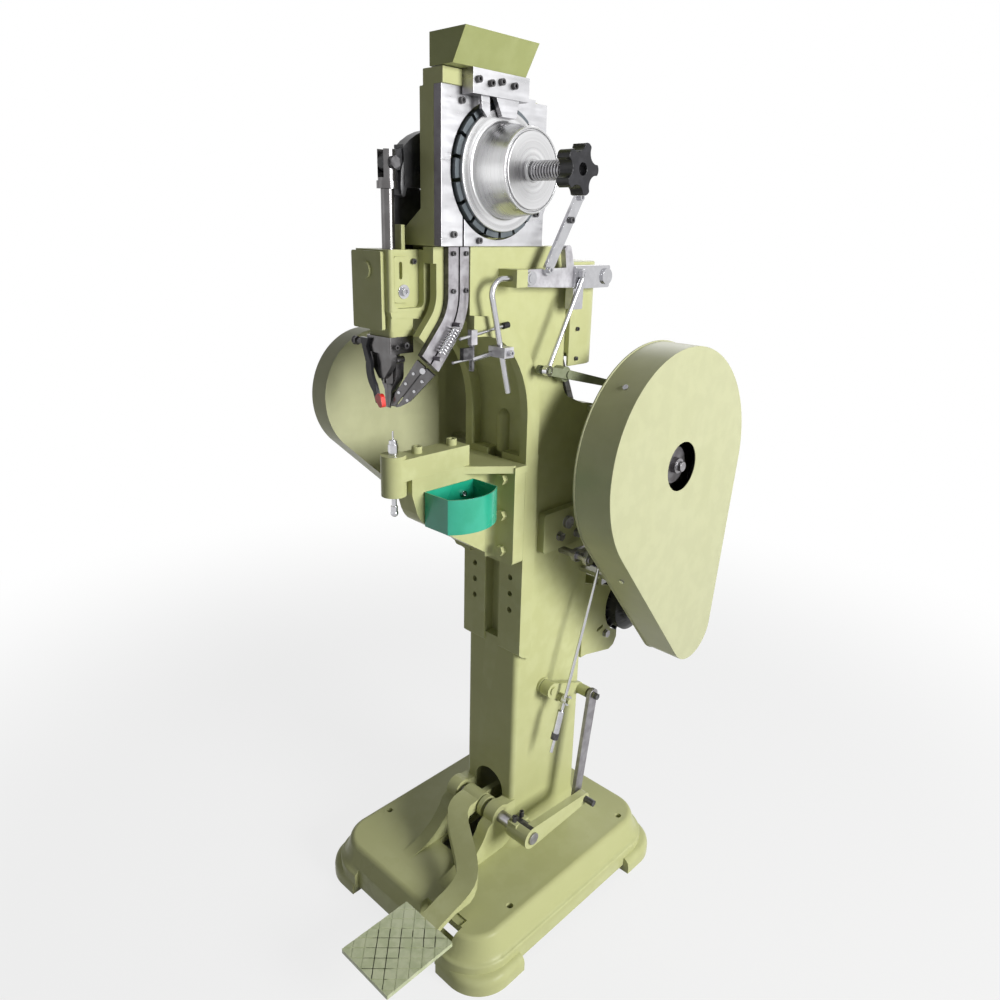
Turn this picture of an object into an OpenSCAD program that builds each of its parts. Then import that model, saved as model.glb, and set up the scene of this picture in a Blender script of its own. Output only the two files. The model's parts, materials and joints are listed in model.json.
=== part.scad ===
// Floor-standing riveting machine with a rivet hopper, a belt drive and a treadle.
// X points to the machine's right, -Y to the operator and Z up, in millimetres.
// The origin lies on the floor, midway between the four anchor holes of the base.

/* [Base] */
// Height of the base top above the floor
base_h = 94; // [90:1:98]
// Half width of the base top
base_hx = 201; // [197:1:206]
// Front edge of the base top
base_y0 = -283; // [-286:1:-280]
// Rear edge of the base top
base_y1 = 226; // [222:1:230]
// Spacing of the anchor holes from left to right
anchor_dx = 352; // [344:2:360]
// Spacing of the anchor holes from front to back
anchor_dy = 336; // [330:2:340]
// Diameter of an anchor hole
anchor_d = 13; // [11:1:15]

/* [Column] */
// Half width of the lower column
col_hx = 64; // [62:1:66]
// Half width over the machined rails
rail_hx = 74; // [72:1:76]
// Front face of the rails
rail_y = -52; // [-54:1:-50]
// Rear face of the column
col_y1 = 150; // [146:1:152]
// Top of the frame
frame_top = 1246; // [1244:1:1248]

/* [Ram and rocker] */
// Distance from the origin forward to the ram axis
ram_reach = 277; // [276:0.5:278]
// Diameter of the ram
ram_d = 19; // [18:0.5:20]
// Height of the rocker pivot
pivot_z = 1331; // [1329:1:1333]
// Distance from the rocker pivot forward to the ram axis
front_arm = 177; // [175:1:179]
// Distance from the rocker pivot back to the rod pin
rear_arm = 88; // [86:1:90]
// Throw of the crank
throw = 11; // [10:0.5:11]

/* [Crank and belt] */
// Distance from the origin back to the crank axis
crank_y = 188; // [186:1:190]
// Height of the crank axis
crank_z = 878; // [876:1:880]
// Radius of the flywheel
flywheel_r = 176; // [170:1:180]
// Distance from the origin back to the motor axis
motor_y = 292; // [290:1:294]
// Height of the motor axis
motor_z = 519; // [517:1:521]
// Inner face of the right guard
guard_x0 = 156; // [154:1:158]
// Outer face of the right guard
guard_x1 = 232; // [230:1:234]

/* [Hopper] */
// Distance from the origin forward to the hopper axis
hopper_reach = 130; // [129:1:131]
// Height of the hopper axis
hopper_z = 1348; // [1347:1:1349]
// Radius of the notched feed ring
ring_r = 90; // [88:1:91]
// Number of notches in the feed ring
notches = 18; // [14:1:22]
// Outer face of the hopper plate
plate_x1 = 70; // [69:1:71]

/* [Treadle] */
// Distance from the origin forward to the treadle shaft
treadle_reach = 80; // [79:1:81]
// Height of the treadle shaft
treadle_z = 175; // [174:1:176]
// Width of the pedal plate
pedal_w = 124; // [116:1:130]
// Length of the pedal plate
pedal_l = 143; // [140:1:150]

/* [Hidden] */
$fn = 48;
fit = 0.05;
gap = 0.3;
ram = [0, -ram_reach];
crank = [crank_y, crank_z];
motor_axis = [motor_y, motor_z];
hopper = [-hopper_reach, hopper_z];
pivot = [-ram_reach + front_arm, pivot_z];
treadle = [-treadle_reach, treadle_z];
rest_tilt = 7.16;
front_pin = [-ram_reach, pivot_z + front_arm * tan(rest_tilt)];
rear_pin = [pivot.x + rear_arm * cos(rest_tilt), pivot.y - rear_arm * sin(rest_tilt)];
crank_pin = [crank.x, crank.y - throw];
rod_tilt = atan2(crank_pin.x - rear_pin.x, rear_pin.y - crank_pin.y);
shaft_r = 16;
pin_r = 15;
big_end_r = pin_r + throw + 1;
paint = [0.60, 0.65, 0.42];
paint_dark = [0.48, 0.53, 0.33];
steel = [0.70, 0.70, 0.72];
bright = [0.86, 0.86, 0.88];
black = [0.10, 0.10, 0.11];
grey = [0.56, 0.54, 0.57];

// Placing and drawing helpers

module along_x(p) { translate(p) rotate([0, 90, 0]) children(); }
module along_y(p) { translate(p) rotate([-90, 0, 0]) children(); }
module slab_x(x0, x1) { translate([x0, 0, 0]) rotate([90, 0, 90]) linear_extrude(x1 - x0) children(); }
module slab_y(y0, y1) { translate([0, y1, 0]) rotate([90, 0, 0]) linear_extrude(y1 - y0) children(); }
module slab_z(z0, z1) { translate([0, 0, z0]) linear_extrude(z1 - z0) children(); }
module mirrored_x() { children(); mirror([1, 0, 0]) children(); }

function dir(t) = [cos(t), sin(t)];
function arc(c, r, a0, a1, n = 12) = [for (i = [0 : n]) c + r * dir(a0 + (a1 - a0) * i / n)];
function smooth(t) = let (u = min(1, max(0, t))) u * u * (3 - 2 * u);

// Rounded rectangle from corner to corner
module round_rect(x0, x1, y0, y1, r) {
    translate([x0 + r, y0]) square([x1 - x0 - 2 * r, y1 - y0]);
    translate([x0, y0 + r]) square([x1 - x0, y1 - y0 - 2 * r]);
    for (x = [x0 + r, x1 - r], y = [y0 + r, y1 - r]) translate([x, y]) circle(r);
}

// Two discs joined by their outer tangents
module strap(a, ra, b, rb) {
    heading = atan2(b.y - a.y, b.x - a.x);
    lean = acos((ra - rb) / norm(b - a));
    inset = 0.06; // the sides run this far inside the tangents, so that they cut the discs at an angle
    translate(a) circle(ra);
    translate(b) circle(rb);
    polygon([
        a + (ra - inset) * dir(heading + lean), a + (ra - inset) * dir(heading - lean),
        b + (rb - inset) * dir(heading - lean), b + (rb - inset) * dir(heading + lean)
    ]);
}

// Sweeps a wall profile, drawn as distance outward and height, round a rectangle
module sweep_wall(x0, x1, y0, y1, r) {
    corners = [[x1 - r, y1 - r, 0], [x0 + r, y1 - r, 90], [x0 + r, y0 + r, 180], [x1 - r, y0 + r, 270]];
    for (c = corners)
        translate([c.x, c.y, 0]) rotate(c.z) rotate_extrude(angle = 90) translate([r, 0]) children();
    translate([x0 + r, y1, 0]) rotate([90, 0, 90]) linear_extrude(x1 - x0 - 2 * r) children();
    translate([x1 - r, y0, 0]) rotate([90, 0, -90]) linear_extrude(x1 - x0 - 2 * r) children();
    translate([x0, y0 + r, 0]) rotate([90, 0, 180]) linear_extrude(y1 - y0 - 2 * r) children();
    translate([x1, y1 - r, 0]) rotate([90, 0, 0]) linear_extrude(y1 - y0 - 2 * r) children();
}

// Hexagon head with its washer face, standing up from z = 0
module hex_head(across, h) {
    cylinder(d = across * 1.15, h = h * 0.2);
    translate([0, 0, h * 0.2]) cylinder(d = across * 1.155, h = h * 0.8, $fn = 6);
}

// Socket cap head standing up from z = 0
module cap_head(d, h) {
    difference() {
        cylinder(d = d, h = h);
        translate([0, 0, h * 0.45]) cylinder(d = d * 0.55, h = h, $fn = 6);
    }
}

// Tube wound from p0 to p1, with straight ends one wire thick
function coil_point(u, r, turns) = [r * cos(360 * turns * u), r * sin(360 * turns * u)];
module coil(p0, p1, r, wire, turns) {
    axis = p1 - p0;
    len = norm(axis);
    heading = [0, acos(axis.z / len), atan2(axis.y, axis.x)];
    steps = turns * 8;
    body = len - 2 * wire;
    spine = concat(
        [[r, 0, 0]],
        [for (i = [0 : steps]) let (q = coil_point(i / steps, r, turns)) [q.x, q.y, wire + body * i / steps]],
        [[r, 0, len]]
    );
    last = len(spine) - 1;
    rings = [for (i = [0 : last])
        let (q = spine[i], out = (i == 0 || i == last) ? [1, 0] : [q.x, q.y] / r,
             flat = i == 0 || i == last)
        for (k = [0 : 5])
            let (c = wire / 2 * cos(60 * k), s = wire / 2 * sin(60 * k))
            flat ? [q.x + c, q.y + s, q.z] : [q.x + c * out.x, q.y + c * out.y, q.z + s]];
    sides = [for (i = [0 : last - 1], k = [0 : 5])
        let (a = i * 6 + k, b = i * 6 + (k + 1) % 6)
        each [[a, a + 6, b + 6], [a, b + 6, b]]];
    caps = concat(
        [for (k = [1 : 4]) [0, k, k + 1]],
        [for (k = [1 : 4]) [last * 6, last * 6 + k + 1, last * 6 + k]]
    );
    mid = [for (i = [1 : last - 1]) spine[i]];
    self_gap = min([for (i = [0 : len(mid) - 5]) min([for (j = [i + 4 : min(len(mid) - 1, i + 12)])
        norm(mid[i] - mid[j])])]) - wire;
    echo("least gap between the turns of this spring in mm", self_gap);
    translate(p0) rotate(heading) polyhedron(points = rings, faces = concat(sides, caps));
}

// Base: a hollow rounded casting on four corner feet

module base_wall_profile() {
    polygon(concat(
        [[-40, base_h - 12], [-40, base_h]],
        arc([-12, base_h - 12], 12, 90, 20, 5),
        [[8, 60], [12, 54], [15, 50.5], [17, 50], [19, 48], [19.5, 45], [19.5, 15], [8, 15]],
        [[2, 42], [-12, base_h - 20]]
    ));
}

module foot_profile() {
    polygon([[-36, 0], [0, 0], [0, 17], [-1.5, 24], [-5, 29], [-10, 32], [-16, 33.5], [-22, 36], [-36, 36]]);
}

// The corners where the feet stand out below the flange
module foot_zone() {
    mirrored_x() {
        translate([124, -330, -1]) cube([130, 143, 80]);
        translate([124, 134, -1]) cube([130, 130, 80]);
    }
}

module base_casting() {
    color(paint) difference() {
        union() {
            sweep_wall(-base_hx, base_hx, base_y0, base_y1, 62) base_wall_profile();
            slab_z(base_h - 12, base_h) round_rect(-base_hx + 38, base_hx - 38, base_y0 + 38, base_y1 - 38, 24);
            intersection() {
                sweep_wall(-base_hx - 33, base_hx + 33, base_y0 - 22, base_y1 + 27, 72) foot_profile();
                foot_zone();
            }
            for (x = [-1, 1], y = [-1, 1])
                translate([x * anchor_dx / 2, y * anchor_dy / 2, 0]) cylinder(d = anchor_d + 22, h = base_h - 4);
            for (x = [-100, 92]) translate([x, -200, base_h - 44]) cube([8, 380, 36]);
        }
        for (x = [-1, 1], y = [-1, 1])
            translate([x * anchor_dx / 2, y * anchor_dy / 2, -1]) cylinder(d = anchor_d, h = base_h + 2);
        slab_z(base_h - 40, base_h + 1) round_rect(-36, 36, -152, 120, 10);
        slab_y(base_y0 - 30, base_y0 + 20) polygon([[56, base_h + 1], [62, 70], [144, 70], [150, base_h + 1]]);
        slab_y(base_y0 + 19, base_y0 + 36) polygon([[70, base_h + 1], [74, base_h - 4], [142, base_h - 4], [146, base_h + 1]]);
        translate([-119, base_y0 - 30, -1]) cube([238, 20, 80]);
    }
}

// Column: C-shaped frame casting, with the throat drawn by two blended arcs

throat_c1 = [-222, 975];
throat_c2 = throat_c1 + 80 * dir(40);
function throat(inset) = concat(
    arc(throat_c1, 170 + inset, 0, 40, 8),
    arc(throat_c2, 90 + inset, 40, 90, 8)
);
function reversed(list) = [for (i = [len(list) - 1 : -1 : 0]) list[i]];

module frame_outline() {
    polygon(concat(
        [[-30, 500]], throat(22), [[-178, 1138.4], [-178, frame_top], [47, frame_top], [47, 1026]],
        arc([86, 1026], 39, 180, 236, 6), [[col_y1, 960], [col_y1, 500]]
    ));
}

module throat_flange() {
    polygon(concat([[rail_y, 900]], throat(0), [[-178, 1116.4], [-178, 1148]], reversed(throat(30)), [[-22, 900]]));
}

module cheek_outline() {
    polygon(concat(
        [[-40, base_h], [-40, treadle.y + 16]],
        arc(treadle, 24, 50, 185, 10),
        arc([-226, 214], 120, -24, -90, 8),
        [[-226, base_h]]
    ));
}

module foot_flare() {
    polygon(concat([[-8, base_h], [-8, base_h + 28]], arc([28, base_h + 28], 28, 180, 262, 6), [[28, base_h]]));
}

module rod_slot() {
    translate([-17, rear_pin.x, rear_pin.y]) rotate([rod_tilt, 0, 0]) translate([0, -24, -470]) cube([34, 52, 560]);
}

module column_frame() {
    color(paint) difference() {
        union() {
            slab_z(base_h, 540) round_rect(-col_hx, col_hx, -48.5, col_y1, 10);
            sweep_wall(-col_hx, col_hx, -48.5, col_y1, 10) foot_flare();
            mirrored_x() slab_x(40, 66) cheek_outline();
            slab_x(-col_hx, col_hx) frame_outline();
            mirrored_x() slab_x(58, rail_hx) throat_flange();
            mirrored_x() slab_x(18, rail_hx)
                polygon([[-20, 505], [-46, 520], [rail_y, 526], [rail_y, 905], [-20, 905]]);
            slab_x(-50, 36) polygon([[-215, 1122], [-170, 1117], [-170, frame_top], [-215, frame_top]]);
            translate([0, -28, 900]) cylinder(r = 13, h = 62);
            translate([0, -28, 962]) sphere(r = 13);
            mirrored_x() slab_x(40, col_hx) strap([108, 872], 104, crank, 44);
            mirrored_x() slab_x(19, 32) strap(pivot, 26, [pivot.x, frame_top + 6], 42);
            along_x([col_hx - 2, lever_hub.x, lever_hub.y]) cylinder(r = 16, h = 7);
            along_x([col_hx - 2, bell_pivot.x, bell_pivot.y]) cylinder(r = 13, h = 19.7);
            translate([col_hx - 2, -118, 1188]) cube([40, 24, 26]);
            translate([-52, 10, 100]) rotate([0, 90, 0]) cylinder(r = 5, h = 104);
        }
        slab_z(base_h - 20, 500) round_rect(-50, 50, -34, 136, 8);
        slab_z(base_h - 20, base_h + 30) round_rect(-36, 36, -152, 30, 8);
        slab_y(-90, -30) union() {
            translate([-38, base_h - 1]) square([76, 104]);
            translate([0, base_h + 103]) circle(38);
        }
        for (z = [609.5, 642.5, 675], x = [-45.5, 45.5]) along_y([x, rail_y - 1, z]) cylinder(d = 11, h = 27);
        rod_slot();
        along_x([-80, crank.x, crank.y]) cylinder(r = shaft_r + 7 + fit, h = 160);
        along_x([-40, pivot.x, pivot.y]) cylinder(r = 10 + fit, h = 80);
        along_x([-70, treadle.x, treadle.y]) cylinder(r = 12 + fit, h = 140);
        along_x([40, bell_pivot.x, bell_pivot.y]) cylinder(r = 7 + fit, h = 60);
        along_y([90, -120, 1201]) cylinder(r = 4.5 + fit, h = 24);
        along_x([40, lever_hub.x, lever_hub.y]) cylinder(r = 8 + fit, h = 40);
        along_x([40, feed_pivot.x, feed_pivot.y]) cylinder(r = 7 + fit, h = 40);
        along_x([40, trip.x, trip.y]) cylinder(r = 7 + fit, h = 40);
    }
}

// Rear cover: an open-bottomed shell with rounded rear corners

module cover_plan(inset) {
    intersection() {
        round_rect(-rail_hx + inset, rail_hx - inset, -60, 135 - inset, 45 - inset);
        translate([-100, 47]) square([200, 100]);
    }
}

module rear_cover() {
    color(paint) difference() {
        slab_z(1050, 1222) cover_plan(0);
        slab_z(1040, 1216) cover_plan(5);
        translate([-14, 40, 1200]) cube([28, 22, 30]);
    }
    color(paint) mirrored_x() slab_z(1072, 1200) translate([54, 47]) square([16, 5]);
}

// Table bracket: an angle plate bolted on the rails, with a deep central web

module table_bracket() {
    color(paint) {
        slab_y(-78, rail_y) round_rect(-rail_hx, rail_hx, 713, 890, 8);
        slab_x(-rail_hx - 4, rail_hx + 4) polygon([[-82, 882], [-82, 894], [rail_y, 894], [rail_y, 882]]);
        mirrored_x() slab_z(884, 897) polygon([[19, -148], [rail_hx, -82], [rail_hx, -77], [19, -77]]);
        mirrored_x() slab_z(719, 885) polygon([[19, -92], [20, -92], [22, -85], [26, -80], [33, -78], [33, -77], [19, -77]]);
        slab_x(-20, 20) polygon(concat(
            [[-78, 719], [-78, 897], [-256.5, 897], [-256.5, 870], [-247, 838]],
            arc([-202, 853], 47, 200, 226, 3)
        ));
    }
}

// Anvil arm: a flat arm with a round boss that holds the anvil pin

module anvil_arm() {
    color(paint) difference() {
        union() {
            slab_z(897, 932) union() {
                translate([-20, -ram_reach]) square([40, ram_reach - 133]);
                translate([0, -ram_reach]) circle(20);
            }
            translate([0, -ram_reach, 872]) cylinder(r = 20, h = 66);
        }
        translate([0, -ram_reach, 860]) cylinder(r = 8 + fit, h = 90);
    }
}

module arm_screws() {
    color(paint) for (y = [-229.5, -155]) translate([0, y, 932]) cap_head(17, 11);
}

module anvil_pin() {
    color(bright) difference() {
        translate([0, -ram_reach, 880]) cylinder(r = 8, h = 75);
        translate([0, -ram_reach, 870]) cylinder(r = 4 + fit, h = 90);
    }
    color(bright) difference() {
        translate([0, -ram_reach, 955]) cylinder(r = 6.5, h = 6);
        translate([0, -ram_reach, 950]) cylinder(r = 4 + fit, h = 20);
    }
}

module pilot_plunger() {
    color(bright) {
        translate([0, -ram_reach, 848]) cylinder(r = 4, h = 114);
        translate([0, -ram_reach, 960]) cylinder(r = 1.4, h = 15);
        translate([0, -ram_reach, 842]) cylinder(r = 5.5, h = 12);
        translate([0, -ram_reach, 842]) sphere(r = 6.2);
    }
}

// Parts cup: an open tray with a flat back and a bowed front

module cup_plan(inset) {
    intersection() {
        round_rect(20 + inset, 100 - inset, -233 + inset, -123 - inset, 3.5 - inset);
        translate([17, -178]) circle(81 - inset);
    }
}

module parts_cup() {
    color([0.13, 0.62, 0.48]) difference() {
        slab_z(814, 872) cup_plan(0);
        slab_z(817, 873) cup_plan(2.5);
        along_x([15, -150, 852]) cylinder(r = 3, h = 12);
    }
}

// Head: the casting that guides the ram

module head_casting() {
    color(paint) difference() {
        union() {
            slab_z(1156, 1240) round_rect(-50, 30, -300, -215, 5);
            slab_x(-46, 28) polygon([[-299, 1157], [-296, 1147], [-225, 1143], [-215, 1150], [-215, 1157]]);
            slab_z(1128, 1150) round_rect(-44, 26, -297, -253.5, 4);
            slab_z(1120, 1129) round_rect(-30, 24, -295, -250, 6);
        }
        translate([0, -ram_reach, 1100]) cylinder(r = ram_d / 2 + fit, h = 160);
        slab_x(18, 34) round_rect(-292, -238, 1160, 1260, 9);
    }
    color(paint) slab_x(17, 24) difference() {
        round_rect(-287, -260, 1168, 1231, 3);
        strap([-275.5, 1203], 3, [-275.5, 1221], 3);
    }
}

module head_cover() {
    color(paint) slab_y(-306, -300) round_rect(-50, 18, 1130, 1238, 3);
    color(paint) along_y([-16, -310, 1212]) cylinder(r = 12, h = 4);
}

// Ram, clevis and driver punch

module ram_rod() {
    color(steel) {
        translate([0, -ram_reach, 1100]) cylinder(d = ram_d, h = 220);
        translate([0, -ram_reach, 1094]) cylinder(r1 = 4, r2 = ram_d / 2, h = 6);
        translate([0, -ram_reach, 1021]) cylinder(r = 3, h = 74);
    }
}

module ram_clevis() {
    color(grey) difference() {
        union() {
            translate([0, -ram_reach, 1320]) cylinder(r = 15, h = 10);
            translate([0, -ram_reach, 1326]) cylinder(r = 13, h = 44);
        }
        slab_x(-6.6, 6.6) translate([-ram_reach - 20, 1334]) square([40, 40]);
        along_x([-20, front_pin.x, front_pin.y]) cylinder(r = 5 + fit, h = 40);
    }
}

module clevis_pin() {
    color(black) along_x([-13.5, front_pin.x, front_pin.y]) cylinder(r = 5, h = 27);
    color(black) along_x([13.5, front_pin.x, front_pin.y]) hex_head(15, 6);
}

// Rocker beam, its pin and the long connecting rod

module beam_outline() {
    polygon(concat(
        [[-254, 1342], [-256, 1378]],
        arc([-190, 1310], 92, 136, 62, 8),
        [[-84, 1364], [pivot.x + 14, pivot.y + 28]],
        arc(rear_pin, 16, 78, -110, 8),
        [[-104, 1301], [-140, 1316]],
        arc([-205, 1280], 66, 28, 138, 6)
    ));
}

module rocker_beam() {
    color(black) difference() {
        union() {
            slab_x(-10, 10) difference() {
                beam_outline();
                translate([rear_pin.x, rear_pin.y]) circle(20);
            }
            mirrored_x() slab_x(10.5, 15.5) strap(rear_pin, 15, pivot, 24);
            slab_x(-11, 11) circle_at(pivot, 26);
            slab_x(-6, 6) strap(front_pin, 12, [-240, 1364], 14);
            along_x([-18.5, pivot.x, pivot.y]) cylinder(r = 24, h = 37);
        }
        along_x([-30, pivot.x, pivot.y]) cylinder(r = 10 + fit, h = 60);
        along_x([-30, rear_pin.x, rear_pin.y]) cylinder(r = 8 + fit, h = 60);
        slab_x(-10, 10) strap(front_pin - [4, -0.5], 5.4, front_pin + [4, -0.5], 5.4);
    }
}

module circle_at(p, r) { translate(p) circle(r); }

module rocker_pin() {
    color(steel) along_x([-34, pivot.x, pivot.y]) cylinder(r = 10, h = 66.5);
    color(steel) along_x([-37, pivot.x, pivot.y]) cylinder(r = 13, h = 3);
}

module connecting_rod() {
    color(grey) difference() {
        union() {
            slab_x(-7, 7) strap(rear_pin, 8, crank_pin, 8);
            slab_x(-9.5, 9.5) circle_at(rear_pin, 14);
            slab_x(-11, 11) circle_at(crank_pin, big_end_r + 9);
            mirrored_x() slab_x(7, 9)
                strap(rear_pin + 30 * dir(rod_tilt - 90), 5, crank_pin - 50 * dir(rod_tilt - 90), 7);
        }
        slab_x(-20, 20) circle_at(crank_pin, big_end_r);
    }
    color(steel) along_x([-16.5, rear_pin.x, rear_pin.y]) cylinder(r = 8, h = 33);
}

// Crankshaft with its webs, feed eccentric and clutch collar

module crankshaft() {
    color(steel) {
        along_x([-74, crank.x, crank.y]) cylinder(r = shaft_r, h = 50);
        along_x([-24, crank.x, crank.y]) cylinder(r = 30, h = 11);
        along_x([-14, crank_pin.x, crank_pin.y]) cylinder(r = pin_r, h = 28);
        along_x([13, crank.x, crank.y]) cylinder(r = 30, h = 11);
        along_x([24, crank.x, crank.y]) cylinder(r = shaft_r, h = 120);
        along_x([144, crank.x, crank.y]) cylinder(r = 14, h = 82);
        along_x([84, crank.x, crank.y - 12]) cylinder(r = 44, h = 12);
        along_x([110, crank.x, crank.y]) cylinder(r = 30, h = 24);
        along_x([224, crank.x, crank.y]) cylinder(r = 9, h = 10);
    }
}

module crank_bushes() {
    color([0.72, 0.55, 0.28]) mirrored_x() difference() {
        union() {
            along_x([39, crank.x, crank.y]) cylinder(r = shaft_r + 7, h = 26);
            along_x([64, crank.x, crank.y]) cylinder(r = 30, h = 6);
        }
        along_x([38, crank.x, crank.y]) cylinder(r = shaft_r + fit, h = 40);
    }
}

module groove_profile(r, w) {
    polygon([[r + 1, -w / 2], [r - 11, -w / 2 + 4], [r - 11, w / 2 - 4], [r + 1, w / 2]]);
}

module flywheel() {
    color(steel) along_x([166, crank.x, crank.y]) difference() {
        union() {
            difference() {
                cylinder(r = flywheel_r, h = 44, $fn = 96);
                translate([0, 0, -1]) cylinder(r = flywheel_r - 28, h = 46, $fn = 96);
            }
            translate([0, 0, 16]) cylinder(r = flywheel_r - 27, h = 12);
            translate([0, 0, -2]) cylinder(r = 34, h = 52);
        }
        for (i = [0 : 4]) rotate(72 * i) translate([96, 0, 0]) cylinder(r = 32, h = 60);
        translate([0, 0, -5]) cylinder(r = 14 + fit, h = 70);
        translate([0, 0, 22]) rotate_extrude($fn = 96) groove_profile(flywheel_r, 18);
    }
}

belt_x = 188;
pulley_r = 36;

module belt_line(grow) {
    strap(crank, flywheel_r - 5 + grow, motor_axis, pulley_r - 4 + grow);
}

module drive_belt() {
    color(black) slab_x(belt_x - 4.5, belt_x + 4.5) difference() {
        belt_line(5);
        belt_line(-4.4);
    }
}

module motor_pulley() {
    color(steel) along_x([belt_x - 15, motor_axis.x, motor_axis.y]) difference() {
        cylinder(r = pulley_r, h = 30);
        translate([0, 0, 15]) rotate_extrude() groove_profile(pulley_r, 18);
    }
    color(steel) along_x([98.3, motor_axis.x, motor_axis.y]) cylinder(r = 9, h = 75);
}

// Motor, with cooling ribs and a foot, on a slotted bracket

module motor() {
    color(black) {
        along_x([-96, motor_axis.x, motor_axis.y]) cylinder(r = 58, h = 180);
        for (i = [0 : 15]) along_x([-84, motor_axis.x, motor_axis.y]) rotate(22.5 * i)
            translate([55, -1.6, 0]) cube([10, 3.2, 150]);
        along_x([84, motor_axis.x, motor_axis.y]) cylinder(r1 = 58, r2 = 38, h = 14);
        along_x([-112, motor_axis.x, motor_axis.y]) cylinder(r = 60, h = 20);
        along_x([98, motor_axis.x, motor_axis.y]) difference() {
            cylinder(r = 20, h = 9);
            translate([0, 0, -1]) cylinder(r = 9.4, h = 12);
        }
        translate([-54, 205, 462]) cube([108, 50, 114]);
    }
}

module motor_bracket() {
    color(paint) difference() {
        union() {
            translate([-col_hx, 193, 436]) cube([2 * col_hx, 12, 166]);
            mirrored_x() slab_x(56, col_hx) polygon([
                [150, 604], [240, 570], [262, 552], [270, 520], [273, 440], [264, 424], [248, 418], [168, 436], [150, 436]
            ]);
            translate([-58, 150, 470]) cube([116, 10, 110]);
            translate([-30, 158, 500]) cube([60, 36, 12]);
        }
        along_x([-70, motor_axis.x, motor_axis.y]) cylinder(r = 66, h = 140);
        mirrored_x() slab_x(50, 70) strap([204, 480], 3.5, [218, 484], 3.5);
    }
}

// Guards: a deep drop-shaped pan on the right, a shallow one on the left

module right_guard_outline(grow) {
    strap(crank, 212 + grow, [292, 519], 68 + grow);
}

module right_guard() {
    color(paint) difference() {
        union() {
            slab_x(guard_x0, guard_x1) right_guard_outline(0);
            slab_x(guard_x0, guard_x0 + 3) right_guard_outline(2);
        }
        slab_x(guard_x0 - 1, guard_x1 - 2) right_guard_outline(-2);
        along_x([guard_x1 - 5, crank.x, crank.y]) cylinder(r = 45, h = 10);
    }
}

module right_guard_back() {
    color(paint) difference() {
        slab_x(guard_x0 - 2, guard_x0) right_guard_outline(-1);
        along_x([guard_x0 - 5, crank.x, crank.y]) cylinder(r = 46, h = 10);
        along_x([guard_x0 - 5, motor_axis.x, motor_axis.y]) cylinder(r = 30, h = 10);
    }
    color(paint) {
        translate([col_hx, 120, 962]) cube([guard_x0 - 2 - col_hx, 24, 8]);
        translate([col_hx, 128, 640]) cube([guard_x0 - 2 - col_hx, 20, 8]);
    }
}

left_front = [-187, 1000];

module left_guard_outline(grow) {
    strap(left_front, 108 + grow, [300, 520], 84 + grow);
}

module left_guard() {
    color(paint) difference() {
        slab_x(-188, -150) left_guard_outline(0);
        slab_x(-186, -152) left_guard_outline(-2);
        slab_x(-153, -149) intersection() {
            left_guard_outline(-2);
            translate([-32, 300]) square([500, 900]);
        }
    }
    color(paint) for (p = [[20, 880], [120, 720]])
        translate([-186.5, p.x, p.y]) cube([186.5 - col_hx, 24, 6]);
}

// Small fasteners, grouped by kind

module hex_bolts() {
    color(steel) {
        for (x = [-48, 48], z = [737, 803, 868]) translate([x, -78, z]) rotate([90, 0, 0]) hex_head(16, 9);
        mirrored_x() along_x([col_hx, 230, 464]) hex_head(15, 8);
        for (p = [[40, 741], [90, 735]]) along_x([80, p.x, p.y]) hex_head(15, 8);
    }
}

module machine_screws() {
    color(black) {
        mirrored_x() for (z = [1062, 1112, 1152]) along_x([rail_hx, 66, z]) cap_head(7, 4);
        for (p = [[-204, 1433], [-218, 1262], [-168, 1254], [-47, 1293]])
            along_x([plate_x1, p.x, p.y]) cap_head(9, 5);
        for (p = [[-197, 1457], [-173, 1455], [-153, 1459], [-128, 1457]]) along_x([94, p.x, p.y]) cap_head(9, 6);
        for (d = [-12.5, 12.5], z = [1236, 1184]) along_x([62, race_y + d, z]) cap_head(7, 4);
        along_x([18, -248.5, 1224]) cap_head(8, 5);
    }
    color(bright) {
        along_x([24, -271, 1183]) cylinder(r = 10, h = 1.6);
        along_x([25.6, -271, 1183]) cap_head(12, 5);
        along_x([22.5, -150, 852]) cap_head(11, 5);
        guard_screw(crank + 212 * dir(133.3), 133.3);
        guard_screw(crank + 212 * dir(218.8) + 84 * dir(308.8), 218.8);
    }
}

// Screw head on the rim of the right guard, facing outward at angle a
module guard_screw(p, a) {
    translate([200, p.x, p.y]) rotate([a - 90, 0, 0]) cylinder(r = 5, h = 3);
}

// Hopper: bracket, plate, notched ring, drum on its sprung shaft

module hopper_bracket() {
    color(paint) difference() {
        union() {
            slab_x(33, 55) polygon([[-240, 1246], [-240, 1450], [-34, 1450], [-28, 1444], [-28, 1246]]);
            slab_x(26, 34) translate([-240, 1246]) square([16, 204]);
            slab_y(-240, -146) polygon([[-12, 1246], [-12, 1268], [28, 1297], [34, 1297], [34, 1246]]);
            translate([33, -240, 1450]) cube([40, 45, 20]);
            translate([33, -120, 1450]) cube([22, 60, 10]);
        }
        along_x([20, hopper.x, hopper.y]) cylinder(r = 8 + fit, h = 50);
        slab_x(44, 56) translate(hopper) circle(72);
    }
}

module hopper_plate() {
    color(grey) slab_x(55, plate_x1) difference() {
        union() {
            translate([-240, frame_top]) square([212, 200]);
            translate([-240, 1300]) square([186, 150]);
            intersection() {
                circle_at(hopper, 116);
                translate([-60, 1262]) square([60, 160]);
            }
        }
        translate(hopper) circle(ring_r + 3);
        translate([race_y - 1.5, 1240]) square([3, 60]);
        translate([-54, 1446]) square([40, 10]);
    }
}

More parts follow.
